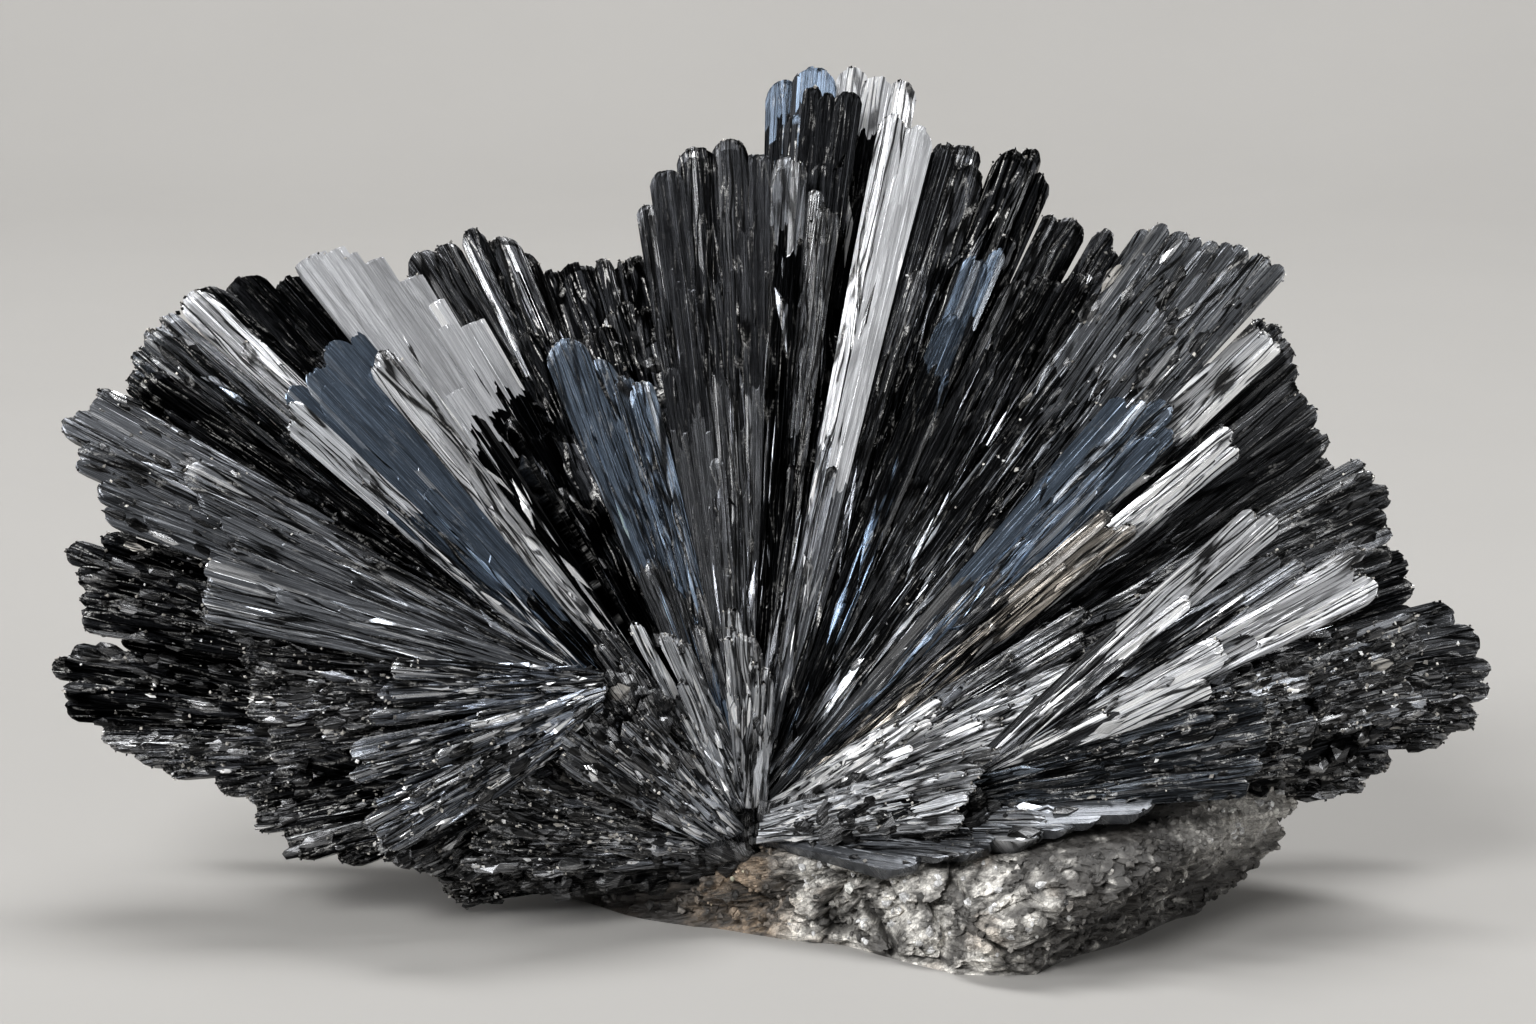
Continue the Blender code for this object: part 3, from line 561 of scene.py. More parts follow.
def add_lath(
    shapes, root, tip, side, facing, width, thickness, sheaf, rng, lift, spot, full_length,
    pointed=1.0, glow=1.0,
):
    """Adds one closed blade from root to tip, its face towards the front (-1) or the back (1).

    spot is its place across the sheaf, from 0 to 1, and lift is how far it lies over the others.
    """
    calm = 0.0
    if sheaf.rough <= ROUGH_FROM:
        calm = min(MOST_CALM, sheaf.calm + rng.choice(CALM_STEPS) * (sheaf.stray < STRAYS_FROM))
    along = tip - root
    length = np.linalg.norm(along)
    along = along / length
    normal = unit(np.cross(along, side))
    if normal[1] * facing < 0:
        normal = -normal
    side = np.cross(along, normal)

    face = lath_face(length, full_length, width, calm, pointed, spot, sheaf, rng)
    columns, y, level_out = face.columns, face.y, face.level_out
    rows = len(y)
    back_y = [np.interp(-BACK_COLUMNS[::-1], -columns[::-1], line[::-1])[::-1] for line in y]
    back_y = np.array(back_y)
    crown = rng.uniform(*LATH_CROWN) * width * (1 - calm)
    height = face.height * np.clip(y / length * ROOT_RISE, ROOT_FLATNESS, 1) + crown * (1 - columns**2)
    ends = np.clip(1 - np.array(TIP_ROWS) / TIP_DROOP_REACH, 0, 1)
    near_tip = np.concatenate([np.zeros(rows - len(ends)), ends])[:, None]
    height = height - thickness * TIP_DROOP * near_tip**2 * (1 - calm)
    phase = rng.random() * SWAY_PHASES
    deep = thickness * (BACK_AT_ROOT + (1 - BACK_AT_ROOT) * (back_y / length))
    deep = deep * (1 - BACK_THINNING * near_tip**2)
    z = np.hstack([height, -deep * np.array([rng.uniform(*BACK_UNEVEN) for _ in BACK_COLUMNS])])
    y = np.hstack([y, back_y])
    share = y / length
    root_width = min(width, max(NARROWEST_ROOT, width * ROOT_NARROWING))
    x = np.concatenate([columns, BACK_COLUMNS]) * ((root_width + (width - root_width) * share) / 2)
    roll = rng.uniform(-1, 1) * LATH_ROLL * uneven("roll", calm)
    level = rng.uniform(*LATH_LEVEL) * uneven("bend", calm)
    bend = rng.uniform(*LATH_BEND) * uneven("bend", calm)

    def resting(x, share):
        """How far the lath's face lies over the straight line from its root to its tip."""
        return x * roll + lift + level * share + bend * np.sin(math.pi * share)

    def surface(x, y):
        """Points on the lath's face."""
        rise = resting(x, y / length) + STEP_HEIGHT * OVER_STEP * (1 - calm) + crown * OVER_CROWN
        return root + x[..., None] * side + y[..., None] * along + rise[..., None] * normal

    z = z + resting(x, share)
    ends_at = y[-1].copy()
    x = x + rng.uniform(*LATH_SWAY) * np.sin(share * SWAY_ANGLE + phase)
    grain = np.exp(-(length - y) / TIP_GRAIN_REACH) * TIP_GRAIN * uneven("grain", calm)
    shake = np.random.default_rng(rng.randrange(1 << 30))
    x, y, z = (values + shake.normal(0, 1, x.shape) * grain for values in (x, y, z))
    points = root + x[..., None] * side + y[..., None] * along + z[..., None] * normal
    around = x.shape[1]
    cap = np.concatenate([np.arange(len(columns)), np.arange(len(columns), around)[::-1]])
    cap = cap[zipper(columns, BACK_COLUMNS[::-1])]
    faces = [tube_quads(rows, around), cap[:, ::-1], cap + (rows - 1) * around]

    number = rng.uniform(0, TEXTURE_RANGE)
    lath_shade = math.exp(rng.gauss(0, LATH_SHADE_SPREAD * uneven("shade", calm))) * glow
    faded = np.hstack([face.faded, back_y < face.fade_share * full_length])
    tone, root_tone = TONES[sheaf.tone], TONES[sheaf.fade[0] if sheaf.fade else sheaf.tone]
    tint = np.where(faded[..., None], root_tone[0], tone[0])
    metal = np.where(faded, root_tone[1], tone[1]).ravel()
    shade = face.shade
    # Painted shade in the creases: the outermost columns of the lath are darkened where it meets the next
    # one.
    for column in (0, -1):
        shade[:, column] *= level_out + (1 - level_out) * rng.uniform(*CREASE_SHADE)
    shade = np.hstack([shade, np.full(back_y.shape, BACK_SHADE)])
    # A painted highlight along the tip's rim, added to the colour.
    rim = PAINTED_RIM_HIGHLIGHT * (1 - calm) * np.exp(-(ends_at - y) / PAINTED_RIM_REACH) * shake.uniform(0, 1, around) ** 2
    # Painted glare: a very bright shade is drawn towards grey.
    glare = (GLARE_SLOPE * (shade - GLARE_FROM)).clip(0, MOST_GLARE)[..., None]
    tint = tint * (1 - glare) + tint.mean(axis=2, keepdims=True) * glare
    tint = tint * shade[..., None] * lath_shade + rim[..., None]
    worn = np.exp(-(length - y) / TIP_WEAR_REACH) * (LOOSE_WEAR if lift else 1.0) * uneven("wear", calm)
    worn = worn + ROUGH_WEAR * sheaf.rough
    for column in (0, len(columns) - 1):
        if rng.random() < EDGE_WEAR_SHARE:
            centre, reach = rng.uniform(*EDGE_WEAR_AT) * length, rng.uniform(*EDGE_WEAR_REACH) * length
            near = np.clip(EDGE_WEAR_PEAK - np.abs(y[:, column] - centre) / reach, 0, 1)
            worn[:, column] += EDGE_WEAR * uneven("edges", calm) * near
    place = np.stack([x, y, np.full(x.shape, number)], -1)
    flat, place, tint = (values.reshape(-1, 3) for values in (points, place, tint))
    shapes.add(flat, faces, place, tint, metal, worn.ravel(), calm)
    dress_lath(
        shapes, surface, sheaf, calm, lift, length, width, face.round_off, (side, along, normal),
        points[-1, : len(columns)], number, shake,
    )


def dress_lath(shapes, surface, sheaf, calm, lift, length, width, round_off, frame_of, tips, number, shake):
    """Adds what lies on a lath: chips split off it, grains on its rim, and its knobs and crumbs."""
    _, along, normal = frame_of
    for chips, tone, share in (
        (SLIVERS, sheaf.tone, uneven("slivers", calm)),
        (SHARDS, sheaf.tone, uneven("shards", calm)),
        (FLAKES, "silver", min(1, sheaf.stray)),
    ):
        add_chips(shapes, surface, chips, share, length, width, frame_of, tone, number, shake)
    grains = 0 if lift and calm > NO_GRAINS_CALM else round(RIM_GRAINS * (1 - calm))
    spots = shake.integers(0, len(tips), grains)
    centres = tips[spots] + shake.normal(0, RIM_GRAIN_SPREAD, (grains, 3)) - along * RIM_GRAIN_DROP
    add_grains(shapes, centres, shake.uniform(*RIM_GRAIN_SIZE, grains), OCTAHEDRON, shake, pale=0.3)

    def scattered(count, half, reach_of, outward, offsets):
        """Places on the face, up to half of its width to each side and at shares of its length."""
        across = shake.uniform(-half, half, count)
        reach = reach_of(count) * (length - round_off * across**2 * 4)
        centres = surface(across * width * reach / length, reach)
        return centres + outward * shake.uniform(*offsets, count)[:, None]

    def crowded_at_the_tip(count):
        return np.clip(0.98 - np.abs(shake.normal(0, 0.27, count)), 0.25, 1)

    def all_along(count):
        return np.sqrt(shake.uniform(0.05, 0.92, count))

    knobs = round(KNOBS_PER_LATH * sheaf.rough * length / ROUGH_LENGTH)
    centres = scattered(knobs, 0.5, crowded_at_the_tip, -normal, (0.0, 0.35))
    sizes = shake.uniform(*KNOB_SIZE, knobs) ** 1.5
    add_grains(shapes, centres, sizes, ICOSAHEDRON, shake, 0.02, frame_of)
    crumbs = round(CRUMBS_PER_LATH * sheaf.rough * length / ROUGH_LENGTH)
    centres = scattered(crumbs, 0.45, all_along, normal, (-0.1, 0.2))
    add_grains(shapes, centres, shake.uniform(*CRUMB_SIZE, crumbs), OCTAHEDRON, shake, pale=0.65)


CHIP_START = (0.05, 0.92)
CHIP_ACROSS = (-0.48, 0.48)
CHIP_BELLY = (0.3, 0.8)
CHIP_HEIGHT = (0.25, 0.6)
CHIP_FACES = np.array([
    (0, 3, 2), (0, 4, 3), (0, 5, 4), (0, 2, 5), (1, 2, 3), (1, 3, 4), (1, 4, 5), (1, 5, 2),
])


def copies(faces, count, corners):
    """A small shape's faces, once for each of its copies."""
    return (faces[None] + (np.arange(count) * corners)[:, None, None]).reshape(-1, 3)


def add_chips(shapes, surface, chips, share, length, width, frame_of, tone, number, shake):
    """Split-off needles that lie along a lath's face, each one pointed at both ends."""
    side, along, normal = frame_of
    count = round(chips.count * share * length / CHIPPED_LENGTH)
    if not count:
        return
    size = shake.uniform(*chips.lengths, count)
    start = shake.uniform(*CHIP_START, count) * (length - size).clip(1)
    across = shake.uniform(*CHIP_ACROSS, count)
    drift = shake.uniform(-1, 1, count) * chips.stray
    widths = shake.uniform(*chips.widths, count)
    belly = start + size * shake.uniform(*CHIP_BELLY, count)

    def lying(y, extra):
        return surface(across * width * (0.2 + 0.8 * y / length) + extra, y)

    first, last, centre = lying(start, -drift), lying(start + size, drift), lying(belly, drift * 0.1)
    half = widths[:, None] / 2
    high = (widths * shake.uniform(*CHIP_HEIGHT, count)).clip(0, 0.4)[:, None]
    peak = side * half * shake.uniform(-0.6, 0.6, count)[:, None]
    corners = [
        first - normal * 0.05, last - normal * 0.02,
        centre - side * half, centre + normal * high + peak,
        centre + side * half, centre - normal * high * 2,
    ]
    points = np.stack(corners, 1)
    spots = np.stack([across, start, np.full(count, number)], -1)
    place = spots[:, None, :] + (points - centre[:, None, :]) @ np.array((side, along, normal)).T
    colour, metal, flashes, gain = TONES[tone]
    shade = np.exp(shake.normal(0.1, 0.7, count)).clip(0.2, 5)
    # Some chips flash: a painted glint, a brighter tint.
    shade = np.where(shake.random(count) < flashes + 0.12, gain * shake.uniform(0.5, 1.3, count), shade)
    tint = np.repeat(np.array(colour)[None] * shade[:, None], len(corners), axis=0)
    faces = copies(CHIP_FACES, count, len(corners))
    shapes.add(points.reshape(-1, 3), [faces], place.reshape(-1, 3), tint, metal, 0.1)


def hull_shape(corners):
    """The corners and the triangles of a small regular solid about the origin."""
    corners = np.array(corners, float)
    corners /= np.linalg.norm(corners[0])
    gaps = np.linalg.norm(corners[:, None] - corners[None], axis=2)
    near = gaps[gaps > 0].min() * 1.1
    faces = []
    for a in range(len(corners)):
        for b in range(a + 1, len(corners)):
            for c in range(b + 1, len(corners)):
                if max(gaps[a, b], gaps[b, c], gaps[c, a]) < near:
                    turn = np.dot(np.cross(corners[b] - corners[a], corners[c] - corners[a]), corners[a])
                    faces.append((a, b, c) if turn > 0 else (a, c, b))
    return corners, np.array(faces)


GOLDEN = (1 + math.sqrt(5)) / 2
OCTAHEDRON = hull_shape([(1, 0, 0), (-1, 0, 0), (0, 1, 0), (0, -1, 0), (0, 0, 1), (0, 0, -1)])
ICOSAHEDRON = hull_shape([
    corner for a in (-1, 1) for b in (-GOLDEN, GOLDEN) for corner in ((0, a, b), (a, b, 0), (b, 0, a))
])


# The texture of loose grains and lumps runs out from a place this far below the main root, and
# its width is taken this far from it.
RADIAL_DROP = 3.0
RADIAL_REACH = 25.0

GRAIN_SQUASH = (0.5, 1.2)
GRAIN_UNEVEN = (0.7, 1.25)
GRAIN_STRETCH = np.array((0.9, 2.1, 0.65))
GRAIN_TINT = (0.036, 0.0365, 0.038)
# The tint of a flashing grain is a painted glint.
GRAIN_FLASH_TINT = (0.22, 0.223, 0.23)
GRAIN_FLASHES = 0.1
GRAIN_WHITISH_TINT = (0.40, 0.38, 0.35)
GRAIN_METAL = 0.8
GRAIN_WEAR = (0.05, 0.1, 0.45)
GRAIN_CALM = 0.5


def radial_place(points):
    """Places in the texture that run out from the main root, as the laths do."""
    across, up = points[:, 0] - ROOT_AT[0], points[:, 2] - ROOT_AT[2]
    turn = np.arctan2(across, up + RADIAL_DROP)
    return np.stack([turn * RADIAL_REACH, np.hypot(across, up), points[:, 1] * 0.1], -1)


def add_grains(shapes, centres, sizes, shape, shake, pale, frame_of=None):
    """Broken grains, of which a share is pale. With a lath's frame they are drawn out along it."""
    count = len(centres)
    if not count:
        return
    corners, triangles = shape
    squash = shake.uniform(*GRAIN_SQUASH, (count, 1, 3))
    jitter = shake.uniform(*GRAIN_UNEVEN, (count, len(corners), 1))
    points = corners[None] * squash * jitter * sizes[:, None, None]
    turns, _ = np.linalg.qr(shake.normal(0, 1, (count, 3, 3)))
    turns[np.linalg.det(turns) < 0, :, 0] *= -1
    points = np.einsum("nij,nkj->nki", turns, points)
    if frame_of is not None:
        points = (points * GRAIN_STRETCH) @ np.array(frame_of)
        turned = np.linalg.det(np.array(frame_of)) < 0
        triangles = triangles[:, ::-1] if turned else triangles
    points = points + centres[:, None, :]
    whitish = shake.random(count) < pale
    # A share of the grains flash: a painted glint, a brighter tint.
    flashing = shake.random(count) < GRAIN_FLASHES
    tint = np.where(flashing[:, None], GRAIN_FLASH_TINT, GRAIN_TINT)
    tint = np.where(whitish[:, None], GRAIN_WHITISH_TINT, tint)
    tint = np.repeat(tint * np.exp(shake.normal(0, 0.8, (count, 1))), len(corners), axis=0)
    metal = np.repeat(np.where(whitish, 0.0, GRAIN_METAL), len(corners))
    worn = np.repeat(shake.choice(GRAIN_WEAR, count), len(corners))
    flat = points.reshape(-1, 3)
    place = radial_place(flat) if frame_of is None else flat @ np.array(frame_of).T
    shapes.add(flat, [copies(triangles, count, len(corners))], place, tint, metal, worn, GRAIN_CALM)


def add_sheaf(shapes, group_root, facing, sheaf, seed):
    """Adds a sheaf's laths, and shorter broken ones that lie over them."""
    rng = random.Random(f"sheaf {seed}")
    root = face_point(*(sheaf.root or group_root))
    first, last = face_point(*sheaf.first), face_point(*sheaf.last)
    reach_across = np.linalg.norm(last - first)
    if sheaf.laths == 1:
        spots, widths = [0.5], [LONE_LATH_WIDTH]
    else:
        shares = np.array([rng.uniform(*LATH_SHARE) for _ in range(sheaf.laths)])
        shares = shares / shares.sum()
        edges = np.concatenate([[0], np.cumsum(shares)])
        spots = list((edges[1:] + edges[:-1]) / 2)
        spacing = reach_across / (sheaf.laths - 1)
        widths = list(np.clip(shares * (reach_across + spacing * OUTER_LATH) * LATH_OVERLAP, *LATH_WIDTHS))
        spots = [0.5 + (spot - 0.5) * sheaf.laths / (sheaf.laths - OUTER_LATH) for spot in spots]
    side = unit(last - first)
    outward = unit((first + last) / 2 - root)
    spread = ROOT_LATH_WIDTH * sheaf.laths

    def one(spot, width, reach, lift, pointed=1.0, glow=1.0):
        """Adds the lath at this share of the way across the sheaf."""
        ragged = rng.uniform(-0.5, 0.5) * RAGGED_LENGTH * sheaf.ragged
        tip = first + (last - first) * spot
        tip = tip + outward * (TIP_REACH + 4 * spot * (1 - spot) * sheaf.bulge + ragged)
        base = root + side * (spot - 0.5) * spread
        if sheaf.stray:
            tip = tip + side * rng.gauss(0, STRAY_ASIDE) * sheaf.stray
            tip = tip - outward * abs(rng.gauss(0, 1)) * sheaf.stray
            base = base + side * rng.gauss(0, STRAY_ROOT) * sheaf.stray
            tip = tip + np.array((0, 1, 0)) * rng.uniform(*STRAY_DEPTH) * sheaf.stray
        full_length = np.linalg.norm(tip - base)
        tip = base + (tip - base) * reach
        thickness = width * rng.uniform(*THICKNESS_SHARE) * (LOOSE_THICKNESS if lift else 1.0)
        thickness = float(np.clip(thickness, *THICKNESS_RANGE))
        width = width * (SHORT_LATH_WIDTH + (1 - SHORT_LATH_WIDTH) * reach)
        add_lath(
            shapes, base, tip, side, facing, width, thickness, sheaf, rng, lift, spot, full_length,
            pointed, glow,
        )

    for spot, width in zip(spots, widths):
        one(spot, width, 1.0, 0.0, 1 + STRAY_ROUNDING * min(1, sheaf.stray))
    for _ in range(round(len(spots) * (1 - sheaf.calm) * BROKEN.number)):
        spot = rng.random()
        width = widths[int(spot * len(widths))] * rng.uniform(*BROKEN.width)
        one(spot, width, rng.uniform(*BROKEN.reach), rng.uniform(*BROKEN.lift))
    for _ in range(round(len(spots) * sheaf.calm * PLATES.number)):
        spot = rng.random()
        width = widths[int(spot * len(widths))] * PLATES.width
        one(spot, width, rng.uniform(*PLATES.reach), rng.uniform(*PLATES.lift))
    for _ in range(round(len(spots) * sheaf.stray * STRAYS.number)):
        spot = rng.random()
        width = max(STRAY_WIDTH, widths[int(spot * len(widths))] * rng.uniform(*STRAYS.width))
        glow = rng.choice(STRAY_GLOWS)
        one(spot, width, rng.uniform(*STRAYS.reach), rng.uniform(*STRAYS.lift), STRAY_POINT, glow)


def rear_sheaves():
    """The rear tiers, each a ring of sheaves from side to side over the back."""
    rng = random.Random("rear")
    sheaves = []
    for across, up, depth, count, laths in REAR_TIERS:
        step = (REAR_LAST_ANGLE - REAR_FIRST_ANGLE) / count
        for number in range(count):
            middle = REAR_FIRST_ANGLE + (number + 0.5) * step
            reach = rng.uniform(*REAR_REACH)
            ends = []
            for angle in (middle + step * 0.4, middle - step * 0.4):
                deep = depth + rng.uniform(-REAR_UNEVEN, REAR_UNEVEN)
                ends.append((
                    REAR_ROOT[0] + across * reach * math.cos(angle),
                    REAR_ROOT[1] + up * reach * math.sin(angle),
                    deep,
                ))
            tone = REAR_TONES[(number * 3 + laths) % len(REAR_TONES)]
            sheaves.append(Sheaf(*ends, laths, tone, 1.5))
    return sheaves


# ---------------------------------------------------------------------------------------------
# The rough mass between the sheaves, and the quartz.


LUMP_KNOBS = 420
LUMP_KNOB_SIZE = (0.5, 1.5)
# The lumps stay this far above the floor.
LUMP_CLEARANCE = 0.5


def add_lump(shapes, number, centre, halves):
    """A rough dark lump of the massive part between the sheaves."""
    ball = bmesh.new()
    bmesh.ops.create_icosphere(ball, subdivisions=4, radius=1.0)
    points = np.empty((len(ball.verts), 3))
    for index, vert in enumerate(ball.verts):
        direction = vert.co.copy()
        swell = 1 + 0.18 * noise.noise(direction * 1.6 + Vector((number, 0, 0)))
        swell += 0.05 * noise.fractal(direction * 9, 0.6, 2.0, 3)
        spot = [middle + half * value * swell for middle, half, value in zip(centre, halves, direction)]
        points[index] = face_point(*spot)
    faces = np.array([[vert.index for vert in face.verts] for face in ball.faces])
    ball.free()
    points[:, 2] = points[:, 2].clip(LUMP_CLEARANCE)
    shapes.add(points, [faces], radial_place(points), TONES["black"][0], 1.0, 0.1)
    shake = np.random.default_rng(number)
    spots = shake.integers(0, len(points), LUMP_KNOBS)
    spots = spots[points[spots, 2] > 2 * LUMP_KNOB_SIZE[1]]
    sizes = shake.uniform(*LUMP_KNOB_SIZE, len(spots))
    add_grains(shapes, points[spots], sizes, ICOSAHEDRON, shake, pale=0.01)


def outline_points(corners, count):
    """Points evenly spaced along a closed outline."""
    ends = np.array(corners + corners[:1], float)
    sides = np.linalg.norm(np.diff(ends, axis=0), axis=1)
    stations = np.concatenate([[0], np.cumsum(sides)])
    at = np.arange(count) * stations[-1] / count
    return np.stack([np.interp(at, stations, ends[:, axis]) for axis in (0, 1)], -1)


def smooth(low, high, value):
    """How far a value is from low to high, from 0 to 1 with soft ends."""
    share = min(1.0, max(0.0, (value - low) / (high - low)))
    return share * share * (3 - 2 * share)


def facets(place, size):
    """Broken blocks of this size: a block's own offset and tilt, and how near its edge a place is."""
    scaled = place / size
    gaps, centres = noise.voronoi(scaled)
    chance = noise.cell_vector(centres[0] * 7.31) - Vector((0.5, 0.5, 0.5))
    tilt = noise.cell_vector(centres[0] * 3.17) - Vector((0.5, 0.5, 0.5))
    return chance.x + 1.6 * (scaled - centres[0]).dot(tilt), smooth(0.2, 0.0, gaps[1] - gaps[0])


def blend(first, second, share):
    return tuple(a + (b - a) * share for a, b in zip(first, second))


QUARTZ_SIDES, QUARTZ_ROWS, QUARTZ_TOP_RINGS = 420, 60, 26
QUARTZ_BLOCK = 4.6
QUARTZ_CHIP = 1.7
QUARTZ_GRAINS = 2400
QUARTZ_GRAIN_SIZE = (0.12, 0.5)
QUARTZ_GRAIN_UNEVEN = (0.6, 1.3)
QUARTZ_GRAIN_SQUASH = (0.6, 1.2)
SUGARY = (0.93, 0.90, 0.84)
STAINED = (0.30, 0.195, 0.105)
# The dark grains of the rock, also used as painted shade.
DARK_GRAINS_AND_SHADE = (0.045, 0.043, 0.041)
DARK_SIDE_FROM = 23.0
# Where the painted shade at the quartz's left end reaches to.
PAINTED_SHADE_END_AT = -4.5
CREST_FROM = (40.0, 7.0)


def quartz_tint(place):
    """Sugary white at the front, stained towards the left, and dark and grainy to the right, with
    painted shade in the hollows between blocks and at the left end.
    """
    x, y, z = place
    wander = noise.noise(place / 5.0) * 4 + noise.noise(place / 1.7) * 1.5
    dark = smooth(-1.5, 1.5, x - DARK_SIDE_FROM + wander)
    stain = smooth(0.15, 0.5, noise.noise(place / 4.5 + Vector((9, 2, 5)))) * 0.4
    stain = max(stain, smooth(5, 0.5, x + wander * 0.4) * 0.85)
    tint = blend(blend(SUGARY, STAINED, stain), DARK_GRAINS_AND_SHADE, dark * 0.95)
    # Painted shade at the left end of the quartz.
    painted_left_end_shade = smooth(PAINTED_SHADE_END_AT + 1.5, PAINTED_SHADE_END_AT - 1.5, x + wander * 0.5)
    tint = blend(tint, DARK_GRAINS_AND_SHADE, painted_left_end_shade * 0.85)
    crest = smooth(-4, 5, x - CREST_FROM[0] + wander) * smooth(-2, 2, z - CREST_FROM[1] + wander * 0.4)
    speck = smooth(0.2, 0.45, noise.noise(place / 1.1 + Vector((1, 8, 3))))
    tint = blend(tint, blend(SUGARY, DARK_GRAINS_AND_SHADE, 1 - dark), speck * 0.6)
    where = Vector((x, y, z * 1.3))
    # Painted shade in the hollows between blocks, with dark patches.
    hollow = 0.8 * facets(where, QUARTZ_BLOCK)[1] + 0.5 * facets(where, QUARTZ_CHIP)[1]
    patch = smooth(0.15, 0.3, noise.noise(place / 3.2 + Vector((4, 4, 9))))
    tint = blend(tint, DARK_GRAINS_AND_SHADE, min(1, hollow + patch * 0.8) * 0.93)
    # Darker towards the back.
    tint = blend(tint, DARK_GRAINS_AND_SHADE, smooth(-6, 8, y) * 0.5)
    return blend(tint, SUGARY, crest * (0.45 + 0.4 * speck))


def quartz_rough(where):
    """How far the broken face of the quartz stands out, in millimetres."""
    block, block_edge = facets(where, QUARTZ_BLOCK)
    chip, chip_edge = facets(where, QUARTZ_CHIP)
    blocky = 1 - 0.65 * smooth(24, 32, where.x)
    rough = (2.4 * block - 0.9 * block_edge) * blocky + 0.8 * chip - 0.35 * chip_edge - 0.3
    rough += noise.fractal(where / 0.8, 0.7, 2.1, 3) * 0.12
    return max(-3.2, min(rough, 0.9 + 0.25 * chip))


def make_quartz(material):
    """The quartz lump: its sides and top are broken and sugary, its underside is flat."""
    outline = outline_points(QUARTZ_OUTLINE, QUARTZ_SIDES)
    middle = outline_points(QUARTZ_OUTLINE, 26).mean(axis=0)
    heights, scales, shifts = (np.array(column) for column in zip(*QUARTZ_LEVELS))

    def shaped(level, inward):
        """A ring of the side at this height, or of the top when it is drawn inward."""
        scale, shift = np.interp(level, heights, scales), np.interp(level, heights, shifts)
        free = min(1.0, level / 0.6)
        ring = []
        for x, y in outline:
            spoke = np.array((x, y)) - middle
            length = np.linalg.norm(spoke)
            place = middle + spoke * scale + np.array((shift, 0))
            bump = noise.noise(Vector((place[0], place[1], level)) / 9.0) * 1.6
            reach = (length * scale + bump) * inward
            spot = middle + np.array((shift, 0)) + spoke / length * reach
            rise = level * (1 + QUARTZ_RISE * max(0, place[0] - QUARTZ_RISE_FROM))
            where = Vector((spot[0], spot[1], rise * 1.3))
            rough = quartz_rough(where)
            spot = spot + spoke / length * rough * free * (0.25 + 0.75 * inward)
            rise += rough * free * (1 - inward) * 0.7
            ring.append((spot[0], spot[1], rise))
        return np.array(ring)

    rings = [shaped(level, 1.0) for level in np.linspace(0, heights[-1], QUARTZ_ROWS)]
    rings += [shaped(heights[-1], inward) for inward in np.linspace(1, 0.02, QUARTZ_TOP_RINGS)[1:]]
    points = np.concatenate(rings)
    tint = np.array([quartz_tint(Vector(point)) for point in points])
    points = points + np.array((ROOT_AT[0], ROOT_AT[1], 0))
    ring = np.arange(QUARTZ_SIDES)
    caps = np.stack([ring[::-1], ring + (len(rings) - 1) * QUARTZ_SIDES])
    shapes = Shapes()
    shapes.add(points, [tube_quads(len(rings), QUARTZ_SIDES), caps], points, tint, 0.0, 0.0)

    shake = np.random.default_rng(5)
    spots = shake.integers(QUARTZ_SIDES * 6, QUARTZ_SIDES * QUARTZ_ROWS, QUARTZ_GRAINS)
    sizes = shake.uniform(*QUARTZ_GRAIN_SIZE, QUARTZ_GRAINS)
    corners, triangles = ICOSAHEDRON
    jitter = shake.uniform(*QUARTZ_GRAIN_UNEVEN, (QUARTZ_GRAINS, len(corners), 1))
    jitter = jitter * shake.uniform(*QUARTZ_GRAIN_SQUASH, (QUARTZ_GRAINS, 1, 3))
    grains = corners[None] * jitter * sizes[:, None, None] + points[spots][:, None, :]
    shade = np.exp(shake.normal(0, 0.7, (QUARTZ_GRAINS, 1)))
    shades = np.repeat((tint[spots] * shade).clip(0.02, 0.75), len(corners), axis=0)
    flat = grains.reshape(-1, 3)
    flat[:, 2] = flat[:, 2].clip(0.05)
    shapes.add(flat, [copies(triangles, QUARTZ_GRAINS, len(corners))], flat, shades, 0.0, 1.0)
    return shapes.make("quartz_lump", material)


# ---------------------------------------------------------------------------------------------
# Materials


